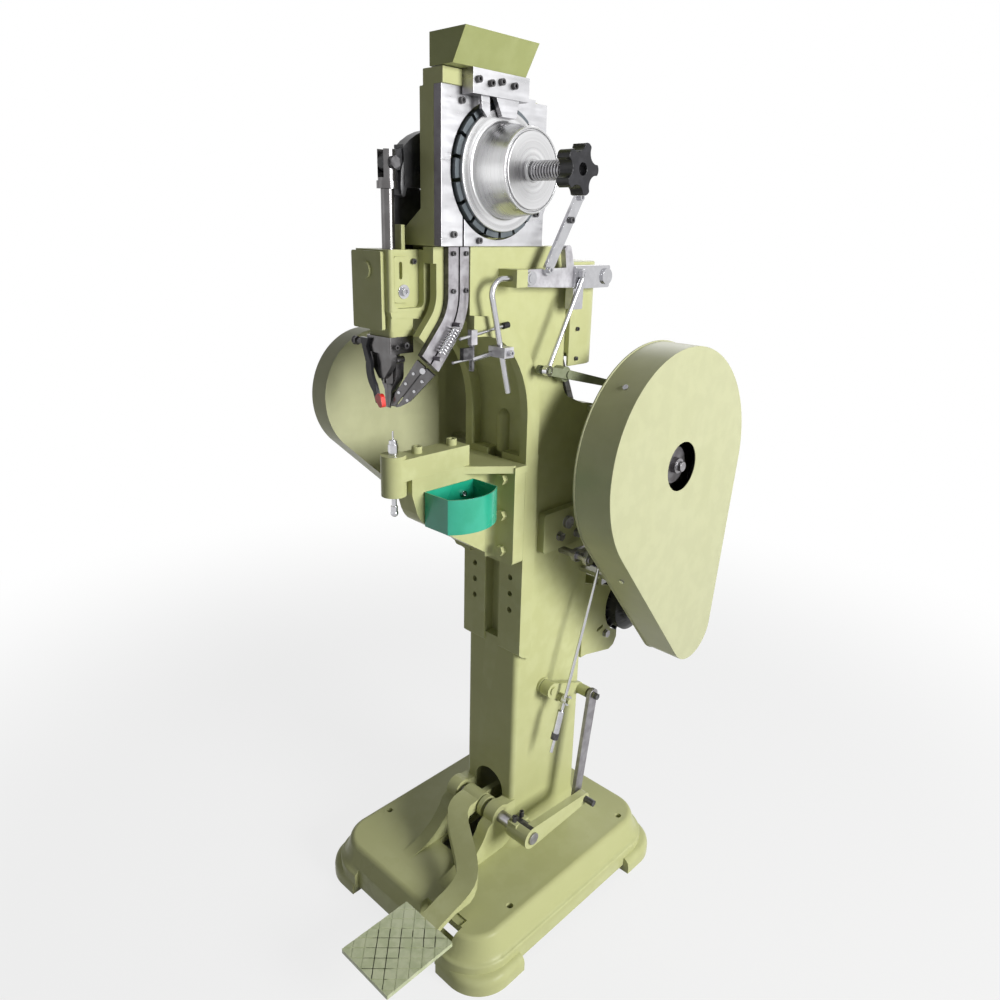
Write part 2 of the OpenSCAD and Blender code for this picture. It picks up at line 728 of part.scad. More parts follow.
module feed_ring() {
    color(grey) slab_x(57, 76) difference() {
        translate(hopper) circle(ring_r, $fn = 96);
        translate(hopper) circle(58);
        for (i = [0 : notches - 1]) translate(hopper) rotate(360 / notches * (i + 0.5))
            translate([ring_r - 12, -2.5]) square([14, 5]);
    }
}

module hopper_drum() {
    color(bright) along_x([76, hopper.x, hopper.y]) rotate_extrude($fn = 96) polygon([
        [8 + fit, 61], [8 + fit, 65], [15, 65], [15, 62], [50.4, 62], [51.2, 61], [51.4, 58], [53, 58],
        [53.6, 60.8], [55.8, 60.8], [57, 58.4], [64.5, 8], [67, 6.3], [81, 6.3], [82, 5.3], [82, 0],
        [59, 0], [61.5, 7], [52.6, 52], [49.5, 55], [12, 55], [12, 48], [8 + fit, 48]
    ]);
}

module hopper_shaft() {
    color(bright) along_x([33, hopper.x, hopper.y]) cylinder(r = 8, h = 182);
    color(bright) along_x([44, hopper.x, hopper.y]) cylinder(r = 13, h = 10);
}

module hopper_spring() {
    color(steel) coil([141.4, hopper.x, hopper.y], [195.6, hopper.x, hopper.y], 11.8, 3, 10);
}

module star_knob_outline() {
    difference() {
        union() {
            circle(24);
            for (i = [0 : 4]) rotate(72 * i + 18) translate([23.5, 0]) circle(10);
        }
        for (i = [0 : 4]) rotate(72 * i + 54) translate([35.5, 0]) circle(14);
    }
}
module star_knob() {
    color(black) along_x([196, hopper.x, hopper.y]) difference() {
        union() {
            cylinder(r = 14, h = 9);
            translate([0, 0, 8]) linear_extrude(22) star_knob_outline();
        }
        translate([0, 0, -1]) cylinder(r = 8 + fit, h = 60);
    }
}

module cap_block() {
    color(grey) {
        translate([plate_x1 + 3, -205, 1440]) cube([94 - plate_x1 - 3, 110, 31]);
        translate([73, -195, 1452]) mirror([1, 0, 0]) cube([17, 100, 19]);
        slab_x(83.5, 88) polygon([[-184, 1446], [-168, 1446], [-166, 1420], [-171, 1414], [-182, 1424]]);
        slab_x(84, 92) polygon([[-162, 1446], [-112, 1446], [-118, 1417], [-146, 1417]]);
    }
}

module rivet_tray() {
    color(paint) slab_y(-240, -101) difference() {
        polygon([[47, 1471], [92, 1471], [116, 1511], [47, 1511]]);
        polygon([[49, 1474], [90.4, 1474], [113, 1512], [49, 1512]]);
    }
    color(paint) for (y = [-240, -103]) slab_y(y, y + 2) polygon([[47, 1471], [92, 1471], [116, 1511], [47, 1511]]);
}

// Raceway: two curved strips on a backing, its support and the swinging chute

race_y = -198;
race_r = 86;
race_c = [race_y - race_r, 1180];
race_turn = 40;
function race_end(d, run) = race_c + (race_r + d) * dir(-race_turn) + run * dir(-race_turn - 90);
function race_side(d, run) = concat(
    [[race_y + d, 1245]], arc(race_c, race_r + d, 0, -race_turn, 7), [race_end(d, run)]
);
module race_band(a, b, run) { polygon(concat(race_side(a, run), reversed(race_side(b, run)))); }

module raceway() {
    color(grey) {
        slab_x(55, 62) race_band(-21, -1.5, 55);
        slab_x(55, 62) race_band(1.5, 19.5, 55);
        slab_x(52, 55) race_band(-21, 19.5, 55);
        for (run = [-16, 44]) let (p = race_end(0, run)) along_x([54, p.x, p.y]) cylinder(r = 3.2, h = 23);
    }
}

module raceway_support() {
    color(paint) slab_x(38, 51.7) race_band(-35, -8, 34);
    color(paint) slab_x(30, 51.7) translate([-239, 1222]) square([24, 23]);
}

chute_top = [57, -254, 1081];
chute_end = [9, -279, 1013];

module chute_frame() {
    run = chute_end - chute_top;
    len = norm(run);
    translate(chute_top) rotate([0, acos(run.z / len), atan2(run.y, run.x)]) children();
}

module feed_chute() {
    color(grey) chute_frame() {
        slab_y(-3, 3) polygon([[-17, 5], [-1.2, 5], [-1.2, 84], [-5, 84], [-12.5, 68]]);
        slab_y(-3, 3) polygon([[1.2, 5], [17, 5], [12.5, 62], [6, 78], [1.2, 84]]);
        slab_y(-6, -2.9) polygon([[-14, 8], [14, 8], [9, 66], [-9, 66]]);
        for (x = [-8.5, 8.5], z = [24, 44, 62]) along_y([x, 2.9, z]) cylinder(r = 2.2, h = 2.4);
        along_y([0, 2.9, 11]) cylinder(r = 4.5, h = 3);
    }
}

module chute_spring() {
    a = race_end(0, -10);
    b = race_end(0, 37);
    color(steel) coil([72, a.x, a.y], [72, b.x, b.y], 7, 2.2, 9);
}

// Nose: holder under the head, two jaws and a finger that keeps hands clear

module nose_holder() {
    color(grey) difference() {
        union() {
            slab_z(1096, 1120) round_rect(-28, 26, -300, -254, 3);
            translate([0, -ram_reach, 1050.4]) cylinder(r = 13, h = 50);
            slab_y(-296, -286) polygon([[-24, 1100], [-24, 1080], [-6, 1058], [6, 1058], [24, 1080], [24, 1100]]);
            mirrored_x() along_y([17, -288, 1086]) cylinder(r = 3, h = 19);
        }
        translate([0, -ram_reach, 1040]) cylinder(d = ram_d + 2 * fit, h = 100);
    }
    color(black) {
        along_x([26, -274, 1108]) cap_head(9, 8);
        along_x([26, -290, 1106]) cap_head(7, 6);
        along_x([-80, -280, 1104]) cylinder(r = 4, h = 54);
        along_x([-84, -280, 1104]) hex_head(12, 8);
    }
}

module jaw(side) {
    color(steel) difference() {
        union() {
            slab_y(-284.5, -270) polygon([
                [side * 0.4, 1013], [side * 0.4, 1049.6], [side * 14.6, 1052], [side * 14.6, 1086],
                [side * 21, 1086], [side * 20, 1060], [side * 8, 1040], [side * 5, 1013]
            ]);
            along_y([side * 18.5, -284.5, 1086]) cylinder(r = 5.5, h = 14.5);
        }
        translate([0, -ram_reach, 1000]) cylinder(r = 3.4, h = 60);
        along_y([side * 17, -290, 1086]) cylinder(r = 3 + fit, h = 30);
        translate([0, -ram_reach, 1049]) cylinder(r = 13.4, h = 60);
        chute_frame() slab_y(-8, 7) polygon([[-19.6, 2], [19.6, 2], [15.6, 70], [7, 91], [-7, 91], [-15.6, 70]]);
    }
}

module jaw_left() { jaw(-1); }
module jaw_right() { jaw(1); }

module finger_guard() {
    color(black) slab_y(-306, -300) polygon(concat(
        [[-36, 1116], [-16, 1116], [-22, 1104]],
        arc([24, 1074], 36, 172, 222, 6),
        [[2, 1036], [10, 1026], [-2, 1022]],
        arc([24, 1074], 48, 228, 172, 6)
    ));
    color([0.75, 0.12, 0.12]) slab_y(-307, -299) strap([5, 1030], 7, [9, 1022], 5);
}

// Bent support rod with its clamp, and the sliding gate rod beside it

module rod(a, b, r) {
    run = b - a;
    len = norm(run);
    translate(a) rotate([0, acos(run.z / len), atan2(run.y, run.x)]) cylinder(r = r, h = len);
}

module support_rod() {
    top = [-136, 1201];
    bend = 22;
    foot = [-136, 1179] + bend * dir(195);
    down = dir(-75);
    run_in = 0.5; // the straight ends reach a little into the bend, which is drawn a hair thinner
    color(bright) {
        rod([90, -97, top.y], [90, top.x - run_in, top.y], 4.5);
        translate([90, top.x, top.y - bend]) rotate([90, 0, 90]) rotate(90)
            rotate_extrude(angle = 105) translate([bend, 0]) circle(4.45);
        rod([90, foot.x - run_in * down.x, foot.y - run_in * down.y],
            [90, foot.x + 150 * down.x, foot.y + 150 * down.y], 4.5);
        rod([79, -188, 1085], [79, -144, 1091], 4);
        translate([76, -190, 1068]) cube([6, 5, 42]);
        rod([79, -226, 1084], [79, -187, 1087], 2.2);
    }
    color(grey) {
        translate([74, -147, 1086]) cube([34, 20, 16]);
        along_x([108, -137, 1094]) cap_head(9, 7);
        difference() {
            translate([75, -192, 1107]) cube([8, 12, 22]);
            rod(gate_a, gate_b, 2.6 + fit);
        }
    }
    color(black) translate([75, -208, 1086.5]) cube([8, 19, 17]);
}

gate_a = [79, -212, 1117];
gate_b = [79, -122, 1130];

module gate_rod() {
    color(bright) rod(gate_a, gate_b, 2.6);
    color(black) rod(gate_b, gate_b + [0, 12, 1.5], 5);
}

// Feed drive: bell crank, rod and the flat lever that follows the eccentric

bell_pivot = [-77, 1200];
feed_pivot = [30, 1040];
feed_front = [-40, 1056];
lever_hub = [29, 424];
lever_pin = [48, 404];
lever_eye = [113, 394];
trip = [66, 703];
rod_top = [137, 700];
arm_pin = [81, 173];

module bell_crank() {
    color(grey) {
        slab_x(82, 92) strap(bell_pivot, 13, [60, 1198], 17);
        slab_x(82, 92) strap([22, 1200], 11, [12, 1241], 8);
        slab_x(80, 98) round_rect(26, 117, 1181, 1217, 4);
        slab_x(80, 96) round_rect(24, 50, 1148, 1185, 3);
        slab_x(92, 98) strap([27, 1320], 9, [-41, 1212], 9);
        along_x([98, 106, 1199]) cylinder(r = 13, h = 4);
        along_x([98, 40, 1204]) cylinder(r = 4, h = 10);
        for (p = [[27, 1320], [-41, 1212], [6, 1286]]) along_x([98, p.x, p.y]) cap_head(10, 5);
    }
    color(steel) along_x([44, bell_pivot.x, bell_pivot.y]) cylinder(r = 7, h = 53);
    color(steel) along_x([92, bell_pivot.x, bell_pivot.y]) cylinder(r = 11, h = 4);
}

module feed_rod() {
    color(bright) difference() {
        union() {
            rod([103, 40, 1204], [103, feed_front.x, feed_front.y], 4);
            along_x([98.3, 40, 1204]) cylinder(r = 8.5, h = 9);
            along_x([98.3, feed_front.x, feed_front.y]) cylinder(r = 8.5, h = 9);
        }
        along_x([90, 40, 1204]) cylinder(r = 4 + fit, h = 30);
        along_x([90, feed_front.x, feed_front.y]) cylinder(r = 5.2, h = 30);
    }
}

module feed_lever() {
    color(paint) {
        slab_x(84, 91) strap(feed_front, 7, feed_pivot, 8);
        slab_x(84, 91) strap(feed_pivot, 8, [248, 986], 5);
        slab_x(84, 91) strap([188, 1000], 7, [crank.x, 921], 9);
        along_x([64.3, feed_pivot.x, feed_pivot.y]) cylinder(r = 13, h = 20);
    }
    color(steel) {
        along_x([44, feed_pivot.x, feed_pivot.y]) cylinder(r = 7, h = 50);
        along_x([91, crank.x, 921]) cylinder(r = 9, h = 5);
        along_x([91, feed_front.x, feed_front.y]) cylinder(r = 3.8, h = 17);
    }
}

// Clutch trip: box, shaft, release rod and lever, link bar and treadle

module trip_box() {
    color(paint) slab_x(col_hx, 80) round_rect(-3, 98, 716, 791, 6);
    color(grey) along_x([80, 60, 764]) cylinder(r = 11.5, h = 8);
}

module trip_shaft() {
    color(steel) {
        along_x([44, trip.x, trip.y]) cylinder(r = 7, h = 92);
        slab_x(98, 107) strap(trip, 13, rod_top, 9);
        along_x([107, rod_top.x, rod_top.y]) cylinder(r = 4, h = 12);
        slab_x(126, 134) strap(trip, 13, [120, 776], 9);
    }
}

module release_rod() {
    color(bright) difference() {
        union() {
            rod([112, 9.5, 303], [112, rod_top.x, rod_top.y], 3.2);
            rod([112, 20.6, 342], [112, 33.2, 386], 6.5);
            along_x([107.3, rod_top.x, rod_top.y]) cylinder(r = 9, h = 9.4);
            along_x([106.3, lever_pin.x, lever_pin.y]) cylinder(r = 10, h = 11.4);
        }
        along_x([100, rod_top.x, rod_top.y]) cylinder(r = 5.5, h = 20);
        along_x([100, lever_pin.x, lever_pin.y]) cylinder(r = 6 + fit, h = 20);
    }
    color(black) rod([112, 17, 329.5], [112, 20.6, 342], 7.5);
}

module release_lever() {
    color(paint) {
        along_x([71, lever_hub.x, lever_hub.y]) cylinder(r = 15, h = 22);
        slab_x(84, 93) strap(lever_hub, 15, lever_eye, 12);
        slab_x(84, 93) strap(lever_hub, 15, lever_pin, 11);
        slab_x(93, 116) translate(lever_eye) circle(11);
    }
    color(steel) {
        along_x([44, lever_hub.x, lever_hub.y]) cylinder(r = 8, h = 52);
        along_x([93, lever_pin.x, lever_pin.y]) cylinder(r = 8.5, h = 13);
        along_x([106, lever_pin.x, lever_pin.y]) cylinder(r = 6, h = 15);
        along_x([116, lever_eye.x, lever_eye.y]) cylinder(r = 5, h = 18);
    }
    color(black) along_x([134, lever_eye.x, lever_eye.y]) hex_head(12, 6);
}

module link_bar() {
    color(grey) slab_x(121.5, 130) difference() {
        strap(lever_eye, 13, arm_pin, 11);
        translate(lever_eye) circle(6.2);
        translate(arm_pin) circle(6 + fit);
    }
}

module crank_arm() {
    color(paint) difference() {
        union() {
            along_x([100, treadle.x, treadle.y]) cylinder(r = 22, h = 50);
            slab_x(134, 150) strap(treadle, 22, arm_pin, 12);
            translate([100, treadle.x - 18, treadle.y + 10]) cube([22, 36, 11]);
        }
        along_x([90, treadle.x, treadle.y]) cylinder(r = 12 + fit, h = 80);
    }
    color(steel) along_x([119, arm_pin.x, arm_pin.y]) cylinder(r = 6, h = 15);
    color(black) {
        along_x([150, arm_pin.x, arm_pin.y]) cylinder(r = 6.5, h = 22);
        for (y = [-10, 10]) translate([111, treadle.x + y, treadle.y + 21]) cap_head(9, 12);
    }
}

module treadle_shaft() {
    color(steel) along_x([-74, treadle.x, treadle.y]) cylinder(r = 12, h = 228);
}

function pedal_mid(y) = 114 * smooth((-118 - y) / 105) - 6;
function pedal_bend(y) = let (u = min(1, max(0, (-118 - y) / 105))) 4 * u * (1 - u);
function pedal_half(y) = 22 + 15 * pedal_bend(y) * pedal_bend(y);
function pedal_top(y) = y < -262 ? 118.4 + (y + 262) * 0.29 : 118 + 74 * smooth((y + 270) / 170);
function pedal_low(y) = y < -262 ? 107.5 + (y + 262) * 0.29 : max(107.5, pedal_top(y) - 24);

module pedal() {
    ys = [for (i = [0 : 18]) -310 + i * 12];
    color(paint) difference() {
        union() {
            intersection() {
                slab_z(60, 240) polygon(concat(
                    [for (y = ys) [pedal_mid(y) - pedal_half(y), y]],
                    reversed([for (y = ys) [pedal_mid(y) + pedal_half(y), y]])
                ));
                slab_x(-40, 140) polygon(concat(
                    [for (y = ys) [y, pedal_low(y)]], reversed([for (y = ys) [y, pedal_top(y)]])
                ));
            }
            along_x([-28, treadle.x, treadle.y]) cylinder(r = 22, h = 44);
            along_x([15, treadle.x, treadle.y]) cylinder(r = 16, h = 6);
            along_x([20, treadle.x, treadle.y]) cylinder(r = 22, h = 10);
            slab_x(-6, 6) strap([treadle.x, treadle.y], 14, [10, 174], 9);
        }
        along_x([-40, treadle.x, treadle.y]) cylinder(r = 12 + fit, h = 80);
    }
    color(grey) difference() {
        slab_z(98, 106) round_rect(45, 45 + pedal_w, -304 - pedal_l, -304, 2);
        for (turn = [-45, 45], i = [-4 : 4]) translate([45 + pedal_w / 2, -304 - pedal_l / 2, 105.2])
            rotate(turn) translate([20 * i + 4, 0, 1]) cube([1.6, 260, 2], center = true);
    }
}

module return_spring() {
    color(steel) coil([0, 10, 105.3], [0, 10, 164.7], 7, 2, 10);
}

base_casting();
column_frame();
rear_cover();
table_bracket();
hex_bolts();
anvil_arm();
arm_screws();
anvil_pin();
pilot_plunger();
parts_cup();
head_casting();
head_cover();
machine_screws();
ram_rod();
ram_clevis();
clevis_pin();
rocker_beam();
rocker_pin();
connecting_rod();
crankshaft();
crank_bushes();
flywheel();
drive_belt();
motor_pulley();
motor();
motor_bracket();
right_guard();
right_guard_back();
left_guard();
hopper_bracket();
hopper_plate();
feed_ring();
hopper_drum();
hopper_shaft();
hopper_spring();
star_knob();
cap_block();
rivet_tray();
raceway();
raceway_support();
feed_chute();
chute_spring();
nose_holder();
jaw_left();
jaw_right();
finger_guard();
support_rod();
gate_rod();
bell_crank();
feed_rod();
feed_lever();
trip_box();
trip_shaft();
release_rod();
release_lever();
link_bar();
crank_arm();
treadle_shaft();
pedal();
return_spring();
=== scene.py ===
import bmesh
import bpy
import json
import math
import numpy as np
from mathutils import Matrix, Vector


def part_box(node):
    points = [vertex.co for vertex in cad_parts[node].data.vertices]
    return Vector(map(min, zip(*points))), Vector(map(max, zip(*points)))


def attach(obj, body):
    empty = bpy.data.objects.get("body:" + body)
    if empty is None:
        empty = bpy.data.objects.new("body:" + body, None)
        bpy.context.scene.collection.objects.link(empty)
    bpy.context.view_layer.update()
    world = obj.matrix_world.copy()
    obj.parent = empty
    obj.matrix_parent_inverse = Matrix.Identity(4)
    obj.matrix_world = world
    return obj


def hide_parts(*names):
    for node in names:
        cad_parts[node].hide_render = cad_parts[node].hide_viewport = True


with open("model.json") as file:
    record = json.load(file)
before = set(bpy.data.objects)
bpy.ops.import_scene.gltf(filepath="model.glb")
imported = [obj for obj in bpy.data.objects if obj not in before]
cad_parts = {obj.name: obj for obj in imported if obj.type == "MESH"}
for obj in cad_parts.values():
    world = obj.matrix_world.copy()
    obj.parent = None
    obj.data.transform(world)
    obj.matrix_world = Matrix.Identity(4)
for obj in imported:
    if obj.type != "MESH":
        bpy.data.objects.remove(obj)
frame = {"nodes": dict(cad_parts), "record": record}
nodes = frame["nodes"]
bodyOf = {n: b for b, ns in frame["record"]["behaviour"]["bodies"].items() for n in ns}


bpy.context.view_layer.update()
print("frame loaded:", len(nodes), "nodes")

# short ways to add a node


def plug(tree, socket, value):
    if isinstance(value, (int, float, tuple)):
        socket.default_value = value
    else:
        tree.links.new(value, socket)


def noiseNode(tree, coords, scale, detail):
    noise = tree.nodes.new("ShaderNodeTexNoise")
    noise.inputs["Detail"].default_value = detail
    tree.links.new(coords, noise.inputs["Vector"])
    plug(tree, noise.inputs["Scale"], scale)
    return noise.outputs["Fac"]


def rangeNode(tree, value, reach, low, high):
    fit = tree.nodes.new("ShaderNodeMapRange")
    fit.inputs["From Min"].default_value, fit.inputs["From Max"].default_value = reach
    tree.links.new(value, fit.inputs["Value"])
    plug(tree, fit.inputs["To Min"], low)
    plug(tree, fit.inputs["To Max"], high)
    return fit.outputs["Result"]


def mathNode(tree, kind, a, b):
    made = tree.nodes.new("ShaderNodeMath")
    made.operation = kind
    plug(tree, made.inputs[0], a)
    plug(tree, made.inputs[1], b)
    return made.outputs[0]


def mixColours(tree, factor, a, b):
    mixed = tree.nodes.new("ShaderNodeMix")
    mixed.data_type = "RGBA"
    tree.links.new(factor, mixed.inputs["Factor"])
    plug(tree, mixed.inputs[6], a)  # the two colour sockets
    plug(tree, mixed.inputs[7], b)
    return mixed.outputs[2]


# camera, floor and lights

camera = {"place": (0.9299, -1.0126, 1.2744), "azimuth": 43.587, "pitch": 19.091, "roll": 1.408,
          "lens": 28.466, "sensor": 36, "clipEnd": 60}
room = {"floorSize": 14.0, "floorColour": (0.42, 0.42, 0.415, 1), "floorRough": 0.7,
        "skyStrength": 0.10, "skyShown": 1.0, "lampsAimAt": (0, 0, 0.8),
        "shadowReach": (0.9, 2.3),  # metres from the middle over which the floor's glow returns
        "nearGlow": 0.8, "underBase": (0.16, 0.21)}  # no glow under the hollow base
lamps = [
    {"name": "windowLamp", "at": (3.3, 0.4, 1.75), "size": 1.4, "power": 155},
    {"name": "frontLamp", "at": (-1.6, -3.2, 0.9), "size": 2.2, "power": 7.5},
    {"name": "rearLamp", "at": (-1.8, 2.4, 2.4), "size": 1.8, "power": 20},
]


def aimCamera():
    turn, drop, roll = (math.radians(camera[k]) for k in ("azimuth", "pitch", "roll"))
    ahead = Vector((-math.sin(turn) * math.cos(drop), math.cos(turn) * math.cos(drop), -math.sin(drop)))
    across = Vector((math.cos(turn), math.sin(turn), 0))
    up = across.cross(ahead)
    sideways = across * math.cos(roll) + up * math.sin(roll)
    upright = up * math.cos(roll) - across * math.sin(roll)
    data = bpy.data.cameras.new("photoCamera")
    data.lens = camera["lens"]
    data.sensor_width = camera["sensor"]
    data.clip_end = camera["clipEnd"]
    eye = bpy.data.objects.new("photoCamera", data)
    spin = Matrix((sideways, upright, -ahead)).transposed().to_4x4()
    eye.matrix_world = Matrix.Translation(camera["place"]) @ spin
    bpy.context.scene.collection.objects.link(eye)
    bpy.context.scene.camera = eye


def seenDirectly(tree):
    path = tree.nodes.new("ShaderNodeLightPath")
    total = path.outputs["Is Camera Ray"]
    for label in ("Is Glossy Ray", "Is Transmission Ray"):
        total = mathNode(tree, "MAXIMUM", total, path.outputs[label])
    return total


def lightRoom():
    for lamp in lamps:
        data = bpy.data.lights.new(lamp["name"], "AREA")
        data.size = lamp["size"]
        data.energy = lamp["power"]
        obj = bpy.data.objects.new(lamp["name"], data)
        aim = Vector(room["lampsAimAt"]) - Vector(lamp["at"])
        obj.rotation_euler = aim.to_track_quat("-Z", "Y").to_euler()
        obj.location = lamp["at"]
        bpy.context.scene.collection.objects.link(obj)
    world = bpy.data.worlds.new("paleRoom")
    bpy.context.scene.world = world
    world.use_nodes = True
    tree = world.node_tree
    back = tree.nodes["Background"]
    glow = tree.nodes.new("ShaderNodeMapRange")
    glow.inputs["To Min"].default_value = room["skyStrength"]
    glow.inputs["To Max"].default_value = room["skyShown"]
    tree.links.new(seenDirectly(tree), glow.inputs["Value"])
    tree.links.new(glow.outputs["Result"], back.inputs["Strength"])
    back.inputs["Color"].default_value = (1, 1, 1, 1)


def fadeWithDistance(tree, distance, reach, near):
    fade = tree.nodes.new("ShaderNodeMapRange")
    fade.interpolation_type = "SMOOTHSTEP"
    fade.inputs["From Min"].default_value, fade.inputs["From Max"].default_value = reach
    fade.inputs["To Min"].default_value = near
    tree.links.new(distance, fade.inputs["Value"])
    return fade.outputs["Result"]


def layFloor():
    half = room["floorSize"] / 2
    corners = [(-half, -half, 0), (half, -half, 0), (half, half, 0), (-half, half, 0)]
    mesh = bpy.data.meshes.new("paleFloor")
    mesh.from_pydata(corners, [], [(0, 1, 2, 3)])
    floor = bpy.data.objects.new("paleFloor", mesh)
    bpy.context.scene.collection.objects.link(floor)
    paper = bpy.data.materials.new("paleFloor")
    paper.use_nodes = True
    tree = paper.node_tree
    shine = tree.nodes["Principled BSDF"]
    shine.inputs["Base Color"].default_value = room["floorColour"]
    shine.inputs["Roughness"].default_value = room["floorRough"]
    glow = tree.nodes.new("ShaderNodeEmission")
    glow.inputs["Color"].default_value = (1, 1, 1, 1)
    coords = tree.nodes.new("ShaderNodeTexCoord")
    away = tree.nodes.new("ShaderNodeVectorMath")
    away.operation = "LENGTH"
    tree.links.new(coords.outputs["Object"], away.inputs[0])
    around = fadeWithDistance(tree, away.outputs["Value"], room["shadowReach"], room["nearGlow"])
    under = fadeWithDistance(tree, away.outputs["Value"], room["underBase"], 0.0)
    part = mathNode(tree, "MULTIPLY", seenDirectly(tree), mathNode(tree, "MULTIPLY", around, under))
    mixed = tree.nodes.new("ShaderNodeMixShader")
    tree.links.new(part, mixed.inputs["Fac"])
    tree.links.new(shine.outputs[0], mixed.inputs[1])
    tree.links.new(glow.outputs[0], mixed.inputs[2])
    tree.links.new(mixed.outputs[0], tree.nodes["Material Output"].inputs["Surface"])
    floor.data.materials.append(paper)


bpy.context.scene.view_settings.view_transform = "Standard"
aimCamera()
lightRoom()
layFloor()
print("camera, lamps and floor are in place")

# shared shader groups

# wear, dirt and the edge mark; the edge mark is partly rubbed wear and partly painted highlight along edges
wearAndSheen = {"patchDetail": 5.0, "patchReach": (0.42, 0.6), "leastRubAndSheen": 0.25,
        "cloudScale": 5.5, "cloudDetail": 4.0, "cloudReach": (0.45, 0.75)}
grainReach = (0.3, 0.7)
grainDetail = 4.0


def startGroup(name, inputs, outputs):
    tree = bpy.data.node_groups.new(name, "ShaderNodeTree")
    for label, kind, value in inputs:
        socket = tree.interface.new_socket(label, in_out="INPUT", socket_type=kind)
        socket.default_value = value
    for label, kind in outputs:
        tree.interface.new_socket(label, in_out="OUTPUT", socket_type=kind)
    return tree, tree.nodes.new("NodeGroupInput"), tree.nodes.new("NodeGroupOutput")


def makeWearAndSheenGroup():
    tree, start, end = startGroup(
        "wornAndSheenedEdges",
        [("Colour", "NodeSocketColor", (0.5, 0.5, 0.5, 1)),
         ("Edge Colour", "NodeSocketColor", (0.8, 0.8, 0.7, 1)),
         ("Dirt Colour", "NodeSocketColor", (0.1, 0.1, 0.05, 1)),
         ("Patch Scale", "NodeSocketFloat", 40.0),
         ("Edge Wear And Sheen", "NodeSocketFloat", 0.5),
         ("Dirt Amount", "NodeSocketFloat", 0.2)],
        [("Colour", "NodeSocketColor")],
    )
    coords = tree.nodes.new("ShaderNodeTexCoord").outputs["Object"]
    patches = noiseNode(tree, coords, start.outputs["Patch Scale"], wearAndSheen["patchDetail"])
    clouds = noiseNode(tree, coords, wearAndSheen["cloudScale"], wearAndSheen["cloudDetail"])
    # edge mark: bevelled edges turn lighter, partly rubbed wear and partly painted highlight where edges
    # catch the light
    edge = tree.nodes.new("ShaderNodeAttribute")
    edge.attribute_name = "edge"
    broken = rangeNode(tree, patches, wearAndSheen["patchReach"], wearAndSheen["leastRubAndSheen"], 1.0)
    rubbedAndSheened = mathNode(tree, "MULTIPLY", edge.outputs["Fac"], broken)
    rubbedAndSheened = mathNode(tree, "MULTIPLY", rubbedAndSheened, start.outputs["Edge Wear And Sheen"])
    grime = rangeNode(tree, clouds, wearAndSheen["cloudReach"], 0.0, 1.0)
    grime = mathNode(tree, "MULTIPLY", grime, start.outputs["Dirt Amount"])
    stained = mixColours(tree, grime, start.outputs["Colour"], start.outputs["Dirt Colour"])
    wornAndSheened = mixColours(tree, rubbedAndSheened, stained, start.outputs["Edge Colour"])
    tree.links.new(wornAndSheened, end.inputs["Colour"])
    return tree


def makeGrainGroup():
    tree, start, end = startGroup(
        "machinedGrain",
        [("Scale", "NodeSocketFloat", 60.0), ("Low", "NodeSocketFloat", 0.2),
         ("High", "NodeSocketFloat", 0.4), ("Stretch", "NodeSocketVector", (1, 1, 12))],
        [("Roughness", "NodeSocketFloat"), ("Height", "NodeSocketFloat")],
    )
    mapping = tree.nodes.new("ShaderNodeMapping")
    tree.links.new(tree.nodes.new("ShaderNodeTexCoord").outputs["Object"], mapping.inputs["Vector"])
    tree.links.new(start.outputs["Stretch"], mapping.inputs["Scale"])
    noise = noiseNode(tree, mapping.outputs[0], start.outputs["Scale"], grainDetail)
    rough = rangeNode(tree, noise, grainReach, start.outputs["Low"], start.outputs["High"])
    tree.links.new(rough, end.inputs["Roughness"])
    tree.links.new(noise, end.inputs["Height"])
    return tree


wearAndSheenGroup = makeWearAndSheenGroup()
grainGroup = makeGrainGroup()
